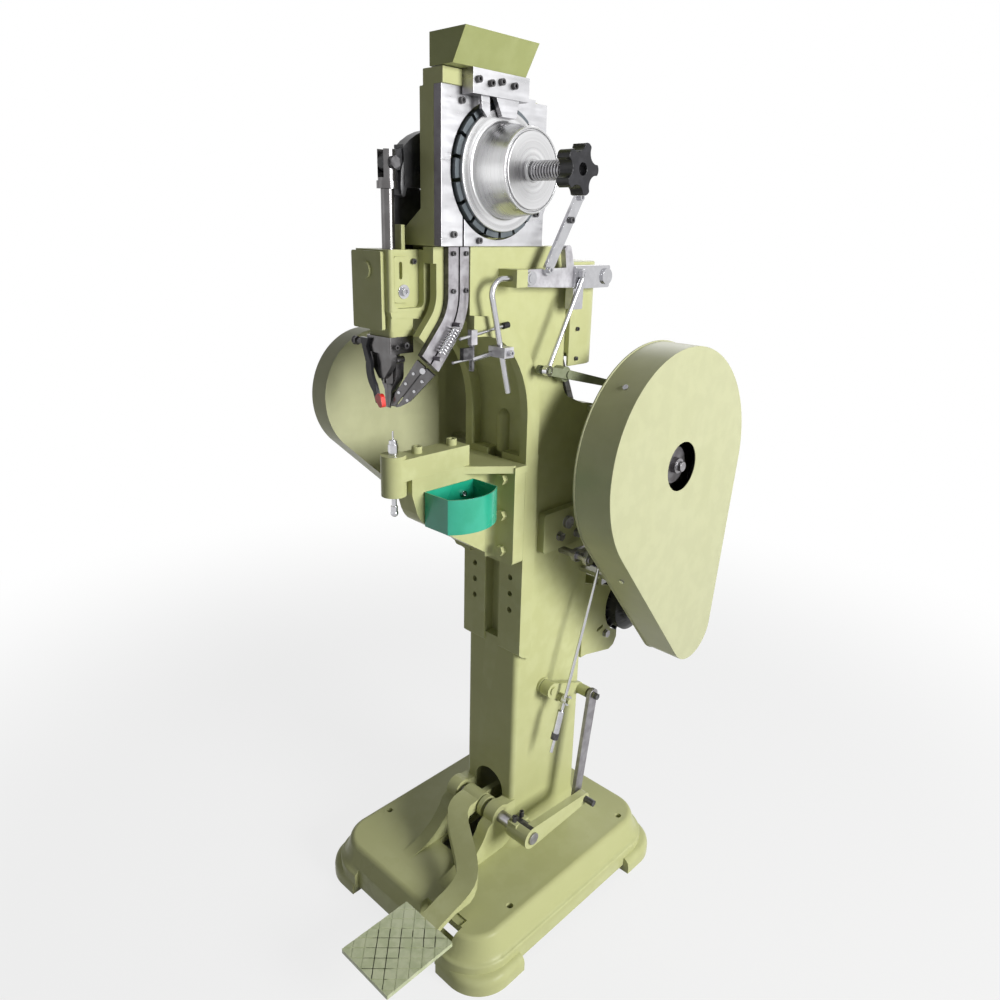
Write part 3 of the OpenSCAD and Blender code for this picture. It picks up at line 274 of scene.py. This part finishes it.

# finishes, one dictionary each

# each finish's edge colour is a lighter copy of it, partly wear and partly painted highlight along edges
finishes = {
    "greenEnamel": {"colour": (0.445, 0.455, 0.225), "edge": (0.6, 0.63, 0.36),
        "dirt": (0.3, 0.33, 0.11), "patch": 30.0, "edgeWearAndSheen": 0.35, "dirtAmount": 0.16, "metal": 0.0,
        "rough": (0.26, 0.38), "grain": 7.0, "stretch": (1, 1, 1), "bump": 0.05, "bumpScale": 420.0,
        "coat": 0.03, "coatRough": 0.14, "shine": 0.1},
    "guardEnamel": {"colour": (0.42, 0.425, 0.26), "edge": (0.6, 0.62, 0.38),
        "dirt": (0.33, 0.35, 0.15), "patch": 30.0, "edgeWearAndSheen": 0.3, "dirtAmount": 0.14, "metal": 0.0,
        "rough": (0.28, 0.4), "grain": 5.0, "stretch": (1, 1, 1), "bump": 0.05, "bumpScale": 420.0,
        "coat": 0.05, "coatRough": 0.18, "shine": 0.14},
    "dullGreen": {"colour": (0.17, 0.19, 0.11), "edge": (0.34, 0.36, 0.26), "dirt": (0.09, 0.1, 0.06),
        "patch": 60.0, "edgeWearAndSheen": 0.5, "dirtAmount": 0.4, "metal": 0.0, "rough": (0.3, 0.45),
        "grain": 30.0, "stretch": (1, 1, 1), "bump": 0.1, "bumpScale": 350.0, "coat": 0.1,
        "coatRough": 0.2, "shine": 0.3},
    "paleSteel": {"colour": (0.5, 0.5, 0.515), "edge": (0.75, 0.75, 0.77), "dirt": (0.36, 0.35, 0.36),
        "patch": 60.0, "edgeWearAndSheen": 0.4, "dirtAmount": 0.3, "metal": 0.8, "rough": (0.26, 0.4),
        "grain": 16.0, "stretch": (1, 1, 8), "bump": 0.04, "bumpScale": 260.0, "coat": 0.0,
        "coatRough": 0.1},
    "ramSteel": {"colour": (0.13, 0.125, 0.125), "edge": (0.35, 0.35, 0.36),
        "dirt": (0.07, 0.065, 0.06), "patch": 60.0, "edgeWearAndSheen": 0.3, "dirtAmount": 0.3, "metal": 0.9,
        "rough": (0.16, 0.26), "grain": 14.0, "stretch": (1, 1, 6), "bump": 0.02, "bumpScale": 300.0,
        "coat": 0.0, "coatRough": 0.1},
    "slateRing": {"colour": (0.075, 0.09, 0.1), "edge": (0.3, 0.32, 0.33), "dirt": (0.03, 0.035, 0.04),
        "patch": 70.0, "edgeWearAndSheen": 0.2, "dirtAmount": 0.4, "metal": 0.5, "rough": (0.35, 0.5),
        "grain": 40.0, "stretch": (1, 1, 1), "bump": 0.05, "bumpScale": 300.0, "coat": 0.0,
        "coatRough": 0.1},
    # painted shade: dark steel for faces turned to the front, where shade falls
    "frontShadeSteel": {"colour": (0.1, 0.09, 0.105), "edge": (0.3, 0.3, 0.32), "dirt": (0.06, 0.05, 0.06),
        "patch": 60.0, "edgeWearAndSheen": 0.3, "dirtAmount": 0.4, "metal": 0.4, "rough": (0.4, 0.55),
        "grain": 30.0, "stretch": (1, 1, 6), "bump": 0.08, "bumpScale": 260.0, "coat": 0.0,
        "coatRough": 0.1},
    "darkSteel": {"colour": (0.12, 0.11, 0.115), "edge": (0.4, 0.4, 0.42), "dirt": (0.05, 0.045, 0.04),
        "patch": 70.0, "edgeWearAndSheen": 0.5, "dirtAmount": 0.5, "metal": 0.9, "rough": (0.3, 0.48),
        "grain": 40.0, "stretch": (1, 1, 1), "bump": 0.08, "bumpScale": 300.0, "coat": 0.0,
        "coatRough": 0.1},
    "pedalEnamel": {"colour": (0.42, 0.47, 0.27), "edge": (0.66, 0.68, 0.48),
        "dirt": (0.2, 0.23, 0.12), "patch": 60.0, "edgeWearAndSheen": 0.8, "dirtAmount": 0.3, "metal": 0.0,
        "rough": (0.3, 0.5), "grain": 20.0, "stretch": (1, 1, 1), "bump": 0.1, "bumpScale": 300.0,
        "coat": 0.2, "coatRough": 0.3},
    "machinedSteel": {"colour": (0.27, 0.26, 0.27), "edge": (0.6, 0.6, 0.62),
        "dirt": (0.13, 0.12, 0.12), "patch": 90.0, "edgeWearAndSheen": 0.6, "dirtAmount": 0.35, "metal": 1.0,
        "rough": (0.22, 0.42), "grain": 22.0, "stretch": (1, 1, 9), "bump": 0.06, "bumpScale": 300.0,
        "coat": 0.0, "coatRough": 0.1},
    "greyPlate": {"colour": (0.24, 0.225, 0.24), "edge": (0.55, 0.55, 0.57),
        "dirt": (0.14, 0.13, 0.14), "patch": 60.0, "edgeWearAndSheen": 0.7, "dirtAmount": 0.4, "metal": 0.9,
        "rough": (0.28, 0.46), "grain": 18.0, "stretch": (1, 7, 1), "bump": 0.05, "bumpScale": 260.0,
        "coat": 0.0, "coatRough": 0.1},
    "castGrey": {"colour": (0.36, 0.35, 0.37), "edge": (0.75, 0.75, 0.77), "dirt": (0.2, 0.19, 0.2),
        "patch": 70.0, "edgeWearAndSheen": 0.7, "dirtAmount": 0.5, "metal": 0.85, "rough": (0.3, 0.5),
        "grain": 30.0, "stretch": (1, 1, 1), "bump": 0.1, "bumpScale": 380.0, "coat": 0.0,
        "coatRough": 0.1},
    "brightSteel": {"colour": (0.52, 0.52, 0.54), "edge": (0.9, 0.9, 0.92), "dirt": (0.4, 0.4, 0.42),
        "patch": 80.0, "edgeWearAndSheen": 0.3, "dirtAmount": 0.2, "metal": 1.0, "rough": (0.12, 0.24),
        "grain": 16.0, "stretch": (1, 1, 6), "bump": 0.02, "bumpScale": 300.0, "coat": 0.0,
        "coatRough": 0.1},
    "blackPaint": {"colour": (0.02, 0.02, 0.022), "edge": (0.16, 0.16, 0.17),
        "dirt": (0.05, 0.05, 0.05), "patch": 50.0, "edgeWearAndSheen": 0.5, "dirtAmount": 0.4, "metal": 0.0,
        "rough": (0.26, 0.42), "grain": 14.0, "stretch": (1, 1, 1), "bump": 0.15, "bumpScale": 350.0,
        "coat": 0.06, "coatRough": 0.2, "shine": 0.3},
    "blackPlastic": {"colour": (0.012, 0.012, 0.014), "edge": (0.08, 0.08, 0.09),
        "dirt": (0.03, 0.03, 0.03), "patch": 60.0, "edgeWearAndSheen": 0.4, "dirtAmount": 0.3, "metal": 0.0,
        "rough": (0.16, 0.28), "grain": 20.0, "stretch": (1, 1, 1), "bump": 0.03, "bumpScale": 500.0,
        "coat": 0.06, "coatRough": 0.1, "shine": 0.25},
    "blackOxide": {"colour": (0.035, 0.033, 0.035), "edge": (0.3, 0.3, 0.31),
        "dirt": (0.08, 0.07, 0.06), "patch": 120.0, "edgeWearAndSheen": 0.5, "dirtAmount": 0.4, "metal": 0.6,
        "rough": (0.3, 0.45), "grain": 60.0, "stretch": (1, 1, 1), "bump": 0.05, "bumpScale": 500.0,
        "coat": 0.0, "coatRough": 0.1},
    "jadePlastic": {"colour": (0.01, 0.33, 0.19), "edge": (0.06, 0.52, 0.38),
        "dirt": (0.01, 0.24, 0.17), "patch": 25.0, "edgeWearAndSheen": 0.5, "dirtAmount": 0.35, "metal": 0.0,
        "rough": (0.2, 0.32), "grain": 8.0, "stretch": (1, 1, 1), "bump": 0.03, "bumpScale": 300.0,
        "coat": 0.3, "coatRough": 0.12},
    "beltRubber": {"colour": (0.02, 0.02, 0.02), "edge": (0.07, 0.07, 0.07),
        "dirt": (0.06, 0.055, 0.05), "patch": 90.0, "edgeWearAndSheen": 0.5, "dirtAmount": 0.5, "metal": 0.0,
        "rough": (0.55, 0.75), "grain": 90.0, "stretch": (1, 1, 1), "bump": 0.2, "bumpScale": 700.0,
        "coat": 0.0, "coatRough": 0.1},
    "bearingBronze": {"colour": (0.5, 0.34, 0.15), "edge": (0.7, 0.52, 0.28),
        "dirt": (0.2, 0.13, 0.07), "patch": 90.0, "edgeWearAndSheen": 0.5, "dirtAmount": 0.4, "metal": 1.0,
        "rough": (0.25, 0.4), "grain": 80.0, "stretch": (1, 1, 1), "bump": 0.04, "bumpScale": 400.0,
        "coat": 0.0, "coatRough": 0.1},
    "trayEnamel": {"colour": (0.31, 0.335, 0.135), "edge": (0.5, 0.52, 0.28),
        "dirt": (0.22, 0.24, 0.08), "patch": 30.0, "edgeWearAndSheen": 0.3, "dirtAmount": 0.2, "metal": 0.0,
        "rough": (0.28, 0.4), "grain": 8.0, "stretch": (1, 1, 1), "bump": 0.05, "bumpScale": 420.0,
        "coat": 0.03, "coatRough": 0.14, "shine": 0.12},
    "redPlastic": {"colour": (0.6, 0.02, 0.015), "edge": (0.8, 0.15, 0.1), "dirt": (0.3, 0.02, 0.02),
        "patch": 90.0, "edgeWearAndSheen": 0.4, "dirtAmount": 0.3, "metal": 0.0, "rough": (0.25, 0.4),
        "grain": 40.0, "stretch": (1, 1, 1), "bump": 0.03, "bumpScale": 400.0, "coat": 0.2,
        "coatRough": 0.1},
    "turnedAluminium": {"colour": (0.6, 0.6, 0.605), "edge": (0.8, 0.8, 0.81),
        "dirt": (0.45, 0.45, 0.45), "patch": 60.0, "edgeWearAndSheen": 0.0, "dirtAmount": 0.1, "metal": 1.0,
        "rough": (0.24, 0.34), "grain": 90.0, "stretch": (8, 1, 1), "bump": 0.02, "bumpScale": 300.0,
        "coat": 0.0, "coatRough": 0.1},
}
peelDetail = 2.0  # of the fine orange peel in every surface
bumpDepth = 0.0006


def makeFinish(name, look):
    made = bpy.data.materials.new(name)
    made.use_nodes = True
    tree = made.node_tree
    shader = tree.nodes["Principled BSDF"]
    wornAndSheened = tree.nodes.new("ShaderNodeGroup")
    wornAndSheened.node_tree = wearAndSheenGroup
    for label, key in (("Colour", "colour"), ("Edge Colour", "edge"), ("Dirt Colour", "dirt")):
        wornAndSheened.inputs[label].default_value = (*look[key], 1)
    wornAndSheened.inputs["Patch Scale"].default_value = look["patch"]
    wornAndSheened.inputs["Edge Wear And Sheen"].default_value = look["edgeWearAndSheen"]
    wornAndSheened.inputs["Dirt Amount"].default_value = look["dirtAmount"]
    grain = tree.nodes.new("ShaderNodeGroup")
    grain.node_tree = grainGroup
    grain.inputs["Scale"].default_value = look["grain"]
    grain.inputs["Low"].default_value, grain.inputs["High"].default_value = look["rough"]
    grain.inputs["Stretch"].default_value = look["stretch"]
    coords = tree.nodes.new("ShaderNodeTexCoord").outputs["Object"]
    peel = noiseNode(tree, coords, look["bumpScale"], peelDetail)
    bump = tree.nodes.new("ShaderNodeBump")
    bump.inputs["Strength"].default_value = look["bump"]
    bump.inputs["Distance"].default_value = bumpDepth
    tree.links.new(mathNode(tree, "ADD", peel, grain.outputs["Height"]), bump.inputs["Height"])
    tree.links.new(wornAndSheened.outputs["Colour"], shader.inputs["Base Color"])
    tree.links.new(grain.outputs["Roughness"], shader.inputs["Roughness"])
    tree.links.new(bump.outputs["Normal"], shader.inputs["Normal"])
    shader.inputs["Metallic"].default_value = look["metal"]
    shader.inputs["Coat Weight"].default_value = look["coat"]
    shader.inputs["Coat Roughness"].default_value = look["coatRough"]
    shader.inputs["Specular IOR Level"].default_value = look.get("shine", 0.5)
    made.diffuse_color = (*look["colour"], 1)  # for the viewport
    return made


finish = {name: makeFinish(name, look) for name, look in finishes.items()}

turned = {"toAxis": (0, 0.130, -1.348),  # brings the drum's axis to the origin
          "scale": 130.0, "detail": 2.0, "roughReach": (0.3, 0.7), "rough": (0.24, 0.33),
          "shadeReach": (0.35, 0.65), "dark": (0.54, 0.54, 0.545, 1), "light": (0.64, 0.64, 0.645, 1),
          "bump": 0.03, "bumpDepth": 0.0002}


def turnOnLathe(made):
    tree = made.node_tree
    shader = tree.nodes["Principled BSDF"]
    centred = tree.nodes.new("ShaderNodeMapping")
    centred.inputs["Location"].default_value = turned["toAxis"]
    tree.links.new(tree.nodes.new("ShaderNodeTexCoord").outputs["Object"], centred.inputs["Vector"])
    split = tree.nodes.new("ShaderNodeSeparateXYZ")
    tree.links.new(centred.outputs[0], split.inputs[0])
    across = tree.nodes.new("ShaderNodeVectorMath")
    across.operation = "MULTIPLY"
    across.inputs[1].default_value = (0, 1, 1)
    tree.links.new(centred.outputs[0], across.inputs[0])
    radius = tree.nodes.new("ShaderNodeVectorMath")
    radius.operation = "LENGTH"
    tree.links.new(across.outputs[0], radius.inputs[0])
    lathe = tree.nodes.new("ShaderNodeCombineXYZ")  # along the axis, and out from it
    tree.links.new(split.outputs["X"], lathe.inputs["X"])
    tree.links.new(radius.outputs["Value"], lathe.inputs["Y"])
    bands = noiseNode(tree, lathe.outputs[0], turned["scale"], turned["detail"])
    rough = rangeNode(tree, bands, turned["roughReach"], *turned["rough"])
    shade = mixColours(tree, rangeNode(tree, bands, turned["shadeReach"], 0.0, 1.0),
                       turned["dark"], turned["light"])
    bump = tree.nodes.new("ShaderNodeBump")
    bump.inputs["Strength"].default_value = turned["bump"]
    bump.inputs["Distance"].default_value = turned["bumpDepth"]
    tree.links.new(bands, bump.inputs["Height"])
    tree.links.new(rough, shader.inputs["Roughness"])
    tree.links.new(shade, shader.inputs["Base Color"])
    tree.links.new(bump.outputs["Normal"], shader.inputs["Normal"])


turnOnLathe(finish["turnedAluminium"])
print("finishes:", len(finish))

# CAD nodes with softened edges

nodesIn = {
    "greenEnamel": "base_casting column_frame rear_cover table_bracket anvil_arm arm_screws "
                   "head_casting head_cover motor_bracket hopper_bracket raceway_support trip_box "
                   "release_lever crank_arm pedal",
    "trayEnamel": "rivet_tray",
    "dullGreen": "feed_lever",
    "darkSteel": "flywheel motor_pulley",
    "guardEnamel": "right_guard right_guard_back left_guard",
    "machinedSteel": "hex_bolts rocker_pin crankshaft cap_block connecting_rod treadle_shaft "
                     "trip_shaft hopper_spring return_spring",
    "ramSteel": "ram_rod ram_clevis nose_holder jaw_left jaw_right feed_chute",
    "slateRing": "feed_ring",
    "greyPlate": "hopper_plate raceway link_bar",
    "castGrey": "bell_crank",
    "brightSteel": "chute_spring anvil_pin pilot_plunger hopper_shaft support_rod gate_rod feed_rod "
                   "release_rod",
    "turnedAluminium": "hopper_drum",
    "blackPaint": "rocker_beam motor",
    "blackPlastic": "star_knob finger_guard",
    "blackOxide": "machine_screws clevis_pin",
    "jadePlastic": "parts_cup",
    "beltRubber": "drive_belt",
    "bearingBronze": "crank_bushes",
}
finishOf = {node: name for name, words in nodesIn.items() for node in words.split()}

edgeWidth = {"base_casting": 0.0035, "column_frame": 0.0028, "pedal": 0.0025, "table_bracket": 0.002,
             "anvil_arm": 0.002, "head_casting": 0.0022, "rocker_beam": 0.0025, "hopper_bracket": 0.002,
             "star_knob": 0.003, "right_guard": 0.0009, "left_guard": 0.0009, "rear_cover": 0.0015,
             "crank_arm": 0.0022, "release_lever": 0.002, "rivet_tray": 0.0004, "parts_cup": 0.0008}
plainEdge = 0.0005
bevelSteps = 2
sameSpot = 1e-6  # metres
bend = {"wearAndSheenFrom": 0.35, "wearAndSheenFull": 0.8}  # radians across an edge
degrees = {"flat": 0.6, "bevel": 42, "bevelRound": 20, "sharp": 34}


# how sharply each vertex bends, stored as the edge mark for wear and painted highlight
def markEdges(mesh):
    bm = bmesh.new()
    bm.from_mesh(mesh)
    bm.normal_update()
    values = np.zeros(len(bm.verts), dtype=np.float32)
    for edge in bm.edges:
        if len(edge.link_faces) == 2:
            angle = edge.calc_face_angle(0)
            if angle > bend["wearAndSheenFrom"]:
                for vert in edge.verts:
                    values[vert.index] = max(values[vert.index], min(1.0, angle / bend["wearAndSheenFull"]))
    bm.free()
    layer = mesh.attributes.new("edge", "FLOAT", "POINT")
    layer.data.foreach_set("value", values)


def bakeModifiers(obj):
    evaluated = obj.evaluated_get(bpy.context.evaluated_depsgraph_get())
    mesh = bpy.data.meshes.new_from_object(evaluated)
    obj.modifiers.clear()
    obj.data = mesh
    return mesh


def addBevel(obj, width, angle):
    bevel = obj.modifiers.new("softEdge", "BEVEL")
    bevel.width = width
    bevel.segments = bevelSteps
    bevel.limit_method = "ANGLE"
    bevel.angle_limit = math.radians(angle)
    return bevel


def smoothFaces(mesh):
    for face in mesh.polygons:
        face.use_smooth = True
    mesh.set_sharp_from_angle(angle=math.radians(degrees["sharp"]))


def softenNode(name, width, ownMesh):
    mesh = ownMesh or nodes[name].data.copy()
    bm = bmesh.new()
    bm.from_mesh(mesh)
    bmesh.ops.remove_doubles(bm, verts=bm.verts, dist=sameSpot)
    flat = math.radians(degrees["flat"])
    bmesh.ops.dissolve_limit(bm, angle_limit=flat, verts=bm.verts, edges=bm.edges)
    bm.to_mesh(mesh)
    bm.free()
    mesh.name = name + "_soft"
    made = bpy.data.objects.new(name + "_soft", mesh)
    bpy.context.scene.collection.objects.link(made)
    addBevel(made, width, degrees["bevel"]).miter_outer = "MITER_ARC"
    mesh = bakeModifiers(made)
    mesh.materials.clear()
    mesh.materials.append(finish[finishOf[name]])
    smoothFaces(mesh)
    made.modifiers.new("evenShading", "WEIGHTED_NORMAL").keep_sharp = True
    mesh = bakeModifiers(made)
    markEdges(mesh)
    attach(made, bodyOf[name])
    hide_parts(name)
    return made


# left guard: three round lobes joined by straight sides, the upper two behind the head

guardLobes = [((-0.187, 1.000), 0.108), ((-0.030, 1.020), 0.085), ((0.300, 0.520), 0.084)]
guardSheet = {"outer": -0.188, "inner": -0.150, "thick": 0.002, "openFrom": -0.032, "steps": 144}
guardStays = {"feet": [(0.020, 0.880), (0.120, 0.720)], "wide": 0.024, "high": 0.006}


def lobeOutline(lobes, grow, steps):
    outline = []
    for step in range(steps):
        turn = 2 * math.pi * step / steps
        way = (math.cos(turn), math.sin(turn))
        centre, radius = max(lobes, key=lambda lobe: lobe[0][0] * way[0] + lobe[0][1] * way[1] + lobe[1])
        outline.append((centre[0] + (radius + grow) * way[0], centre[1] + (radius + grow) * way[1]))
    return outline


def prism(name, outline, x0, x1):
    bm = bmesh.new()
    near = [bm.verts.new((x1, y, z)) for y, z in outline]
    far = [bm.verts.new((x0, y, z)) for y, z in outline]
    bm.faces.new(near)
    bm.faces.new(far[::-1])
    for i in range(len(outline)):
        j = (i + 1) % len(outline)
        bm.faces.new((near[i], far[i], far[j], near[j]))
    bmesh.ops.recalc_face_normals(bm, faces=bm.faces)
    mesh = bpy.data.meshes.new(name)
    bm.to_mesh(mesh)
    bm.free()
    made = bpy.data.objects.new(name, mesh)
    bpy.context.scene.collection.objects.link(made)
    return made


def combine(base, tool, kind):
    step = base.modifiers.new(kind.lower(), "BOOLEAN")
    step.operation = kind
    step.solver = "EXACT"
    step.object = tool
    bakeModifiers(base)
    bpy.data.objects.remove(tool)


def bar(name, x0, x1, y0, y1, z0, z1):
    return prism(name, [(y0, z0), (y1, z0), (y1, z1), (y0, z1)], x0, x1)


def makeLeftGuard():
    outer, inner, thick = guardSheet["outer"], guardSheet["inner"], guardSheet["thick"]
    rim = lobeOutline(guardLobes, 0, guardSheet["steps"])
    hollow = lobeOutline(guardLobes, -thick, guardSheet["steps"])
    pan = prism("leftPan", rim, outer, inner)
    combine(pan, prism("leftHollow", hollow, outer + thick, inner - thick), "DIFFERENCE")
    window = prism("leftWindow", hollow, inner - 1.5 * thick, inner + thick)
    closedPart = bar("leftKeep", outer, 0, -1, guardSheet["openFrom"], 0, 2)  # larger than the pan
    combine(window, closedPart, "DIFFERENCE")
    combine(pan, window, "DIFFERENCE")
    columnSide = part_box("left_guard")[1][0]
    for y, z in guardStays["feet"]:
        stay = bar("leftStay", outer + 0.75 * thick, columnSide,
                   y, y + guardStays["wide"], z, z + guardStays["high"])
        combine(pan, stay, "UNION")
    mesh = pan.data
    bpy.data.objects.remove(pan)
    return mesh


ownMeshes = {"left_guard": makeLeftGuard()}

coils = {
    "hopper_spring": {"start": (0.1424, -0.130, 1.348), "way": (1, 0, 0), "length": 0.0522, "radius": 0.0118,
                      "wire": 0.003, "turns": 10, "body": "frame"},
    "chute_spring": {"start": (0.072, -0.2125, 1.1323), "way": (0, -0.6428, -0.766), "length": 0.0448,
                     "radius": 0.007, "wire": 0.0022, "turns": 9, "body": "frame"},
    "return_spring": {"start": (0, 0.010, 0.1063), "way": (0, 0, 1), "length": 0.0574, "radius": 0.007,
                      "wire": 0.002, "turns": 10, "body": "frame"},
}

soft = {}
for name in sorted(nodes):
    if name not in coils:
        soft[name] = softenNode(name, edgeWidth.get(name, plainEdge), ownMeshes.get(name))
print("softened nodes:", len(soft))

# springs, wound along their axes

coilSteps = {"along": 28, "around": 10}


def makeCoilGroup():
    tree = bpy.data.node_groups.new("woundCoil", "GeometryNodeTree")
    tree.interface.new_socket("Geometry", in_out="OUTPUT", socket_type="NodeSocketGeometry")
    for label in ("Turns", "Radius", "Length", "Wire"):
        tree.interface.new_socket(label, in_out="INPUT", socket_type="NodeSocketFloat")
    tree.interface.new_socket("Material", in_out="INPUT", socket_type="NodeSocketMaterial")
    start = tree.nodes.new("NodeGroupInput")
    end = tree.nodes.new("NodeGroupOutput")
    spiral = tree.nodes.new("GeometryNodeCurveSpiral")
    spiral.inputs["Resolution"].default_value = coilSteps["along"]
    wire = tree.nodes.new("GeometryNodeCurvePrimitiveCircle")
    wire.inputs["Resolution"].default_value = coilSteps["around"]
    sweep = tree.nodes.new("GeometryNodeCurveToMesh")
    sweep.inputs["Fill Caps"].default_value = True
    real = tree.nodes.new("GeometryNodeRealizeInstances")
    finished = tree.nodes.new("GeometryNodeSetMaterial")
    link = tree.links.new
    link(start.outputs["Turns"], spiral.inputs["Rotations"])
    link(start.outputs["Radius"], spiral.inputs["Start Radius"])
    link(start.outputs["Radius"], spiral.inputs["End Radius"])
    link(start.outputs["Length"], spiral.inputs["Height"])
    link(mathNode(tree, "MULTIPLY", start.outputs["Wire"], 0.5), wire.inputs["Radius"])
    link(spiral.outputs[0], sweep.inputs["Curve"])
    link(wire.outputs[0], sweep.inputs["Profile Curve"])
    link(sweep.outputs[0], real.inputs[0])
    link(real.outputs[0], finished.inputs["Geometry"])
    link(start.outputs["Material"], finished.inputs["Material"])
    link(finished.outputs[0], end.inputs[0])
    return tree


def setInputs(modifier, values):
    for item in modifier.node_group.interface.items_tree:
        if item.in_out == "INPUT" and item.name in values:
            modifier[item.identifier] = values[item.name]


def windCoil(name, coil, finishName):
    made = bpy.data.objects.new(name + "_wound", bpy.data.meshes.new(name + "_wound"))
    bpy.context.scene.collection.objects.link(made)
    winder = made.modifiers.new("coil", "NODES")
    winder.node_group = coilGroup
    setInputs(winder, {"Turns": float(coil["turns"]), "Radius": coil["radius"], "Length": coil["length"],
                       "Wire": coil["wire"], "Material": finish[finishName]})
    mesh = bakeModifiers(made)
    facing = Vector(coil["way"]).to_track_quat("Z", "Y").to_matrix().to_4x4()
    mesh.transform(Matrix.Translation(coil["start"]) @ facing)
    for face in mesh.polygons:
        face.use_smooth = True
    markEdges(mesh)
    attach(made, coil["body"])
    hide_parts(name)
    soft[name] = made


coilGroup = makeCoilGroup()
for name, coil in coils.items():
    windCoil(name, coil, finishOf[name])
print("springs wound:", len(coils))

# deep belly under the rocker's front, the guide post behind the ram, and behind them a black sheet that is
# painted shade for the shaded upper frame

bellyOutline = [(-0.250, 1.372), (-0.259, 1.345), (-0.2605, 1.326), (-0.2595, 1.313), (-0.2555, 1.3095),
                (-0.2525, 1.3105), (-0.2485, 1.3225), (-0.236, 1.3225), (-0.220, 1.3225), (-0.207, 1.325),
                (-0.199, 1.350), (-0.205, 1.378)]
# painted shade: a black sheet on the frame behind the rocker stands in for the shaded upper frame
shadeSheetOutline = [(-0.262, 1.2395), (-0.194, 1.2395), (-0.194, 1.316), (-0.206, 1.330), (-0.246, 1.330),
                (-0.258, 1.322), (-0.262, 1.310)]
bellyHalf = 0.0088
shadeSheetSides = (-0.0250, -0.0205)
postBox = (-0.020, 0.009, -0.2612, -0.2545, 1.2395, 1.2735)


def addPiece(made, finishName, body, width):
    addBevel(made, width, degrees["bevelRound"])
    mesh = bakeModifiers(made)
    mesh.materials.append(finish[finishName])
    smoothFaces(mesh)
    markEdges(mesh)
    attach(made, body)


belly = prism("rockerBelly", bellyOutline, -bellyHalf, bellyHalf)
post = bar("guidePost", *postBox)
shadeSheet = prism("blackShadeSheet", shadeSheetOutline, *shadeSheetSides)
addPiece(belly, "blackPaint", bodyOf["rocker_beam"], 0.0015)
addPiece(post, "greenEnamel", "frame", 0.0008)
# the black sheet behind the rocker is painted shade
addPiece(shadeSheet, "blackPaint", "frame", 0.0008)
print("belly, post and cheek are on")

# second finishes inside a piece, by place in millimetres


def inBox(x0, x1, y0, y1, z0, z1):
    return lambda at, up: x0 < at.x < x1 and y0 < at.y < y1 and z0 < at.z < z1


def paintWhere(name, finishName, test):
    mesh = soft[name].data
    mesh.materials.append(finish[finishName])
    slot = len(mesh.materials) - 1
    for face in mesh.polygons:
        if test(face.center * 1000, face.normal):
            face.material_index = slot


secondFinishes = [
    ("finger_guard", "redPlastic", lambda at, up: at.z < 1038 and at.x > -3),  # its tip
    ("hex_bolts", "greenEnamel", inBox(-80, 80, -95, -70, 700, 900)),  # the table bracket's bolts
    ("machine_screws", "brightSteel", inBox(196, 215, -50, 200, 600, 1100)),  # on the right guard
    ("machine_screws", "brightSteel", inBox(23, 34, -283, -259, 1171, 1195)),  # in the head's side
    ("machine_screws", "brightSteel", inBox(22, 30, -157, -143, 840, 862)),  # in the parts cup
    ("crank_arm", "blackOxide", lambda at, up: at.x > 150.1 or at.z > 196.1),  # pin and clamp screws
    ("crank_arm", "machinedSteel", inBox(118, 133.9, 60, 100, 160, 190)),  # inner end of the pin
    ("support_rod", "blackOxide", inBox(74, 84, -209, -188, 1086, 1104)),  # stop block
    ("support_rod", "castGrey", inBox(73.9, 108.1, -148, -126, 1085, 1103)),  # rod clamp
    ("support_rod", "castGrey", inBox(74.9, 83.1, -193, -179, 1106, 1130)),  # guide of the gate rod
    ("gate_rod", "blackPlastic", lambda at, up: at.y > -122.6),  # its knob
    ("feed_chute", "brightSteel", lambda at, up: at.x * 0.4619 - at.y * 0.8869 > 254.7),  # pins in front
    ("bell_crank", "brightSteel", lambda at, up: at.x > 92.1),  # bar, washers and screws
    ("bell_crank", "blackOxide", inBox(98.1, 120, 1, 11, 1280, 1292)),  # the bar's middle screw
    ("hopper_plate", "paleSteel", lambda at, up: at.x > 69.9),  # ground face
    # the hopper plate's faces turned to the front get painted shade
    ("hopper_plate", "frontShadeSteel", lambda at, up: up.y < -0.7),
    ("cap_block", "paleSteel", lambda at, up: up.x > 0.6),
    # the raceway's faces turned to the front get painted shade
    ("raceway", "frontShadeSteel", lambda at, up: up.y < -0.4),
    ("raceway", "blackOxide", lambda at, up: at.x < 61.9 and abs(up.x) < 0.5 and at.z > 1060),  # sides
    ("release_rod", "blackOxide", inBox(104, 120, 5, 40, 325, 346)),  # lock nut
    ("release_lever", "blackOxide", lambda at, up: at.x > 134.1),  # nut at its eye
    ("trip_box", "machinedSteel", lambda at, up: at.x > 80.1),  # bearing boss
    ("nose_holder", "blackOxide", lambda at, up: at.x > 26.1 or at.x < -28.1),  # its screws
    ("pedal", "pedalEnamel", lambda at, up: at.y < -303.9 and at.z < 106.4),  # all but the raised studs
]
for name, finishName, test in secondFinishes:
    paintWhere(name, finishName, test)
print("second finishes are on")
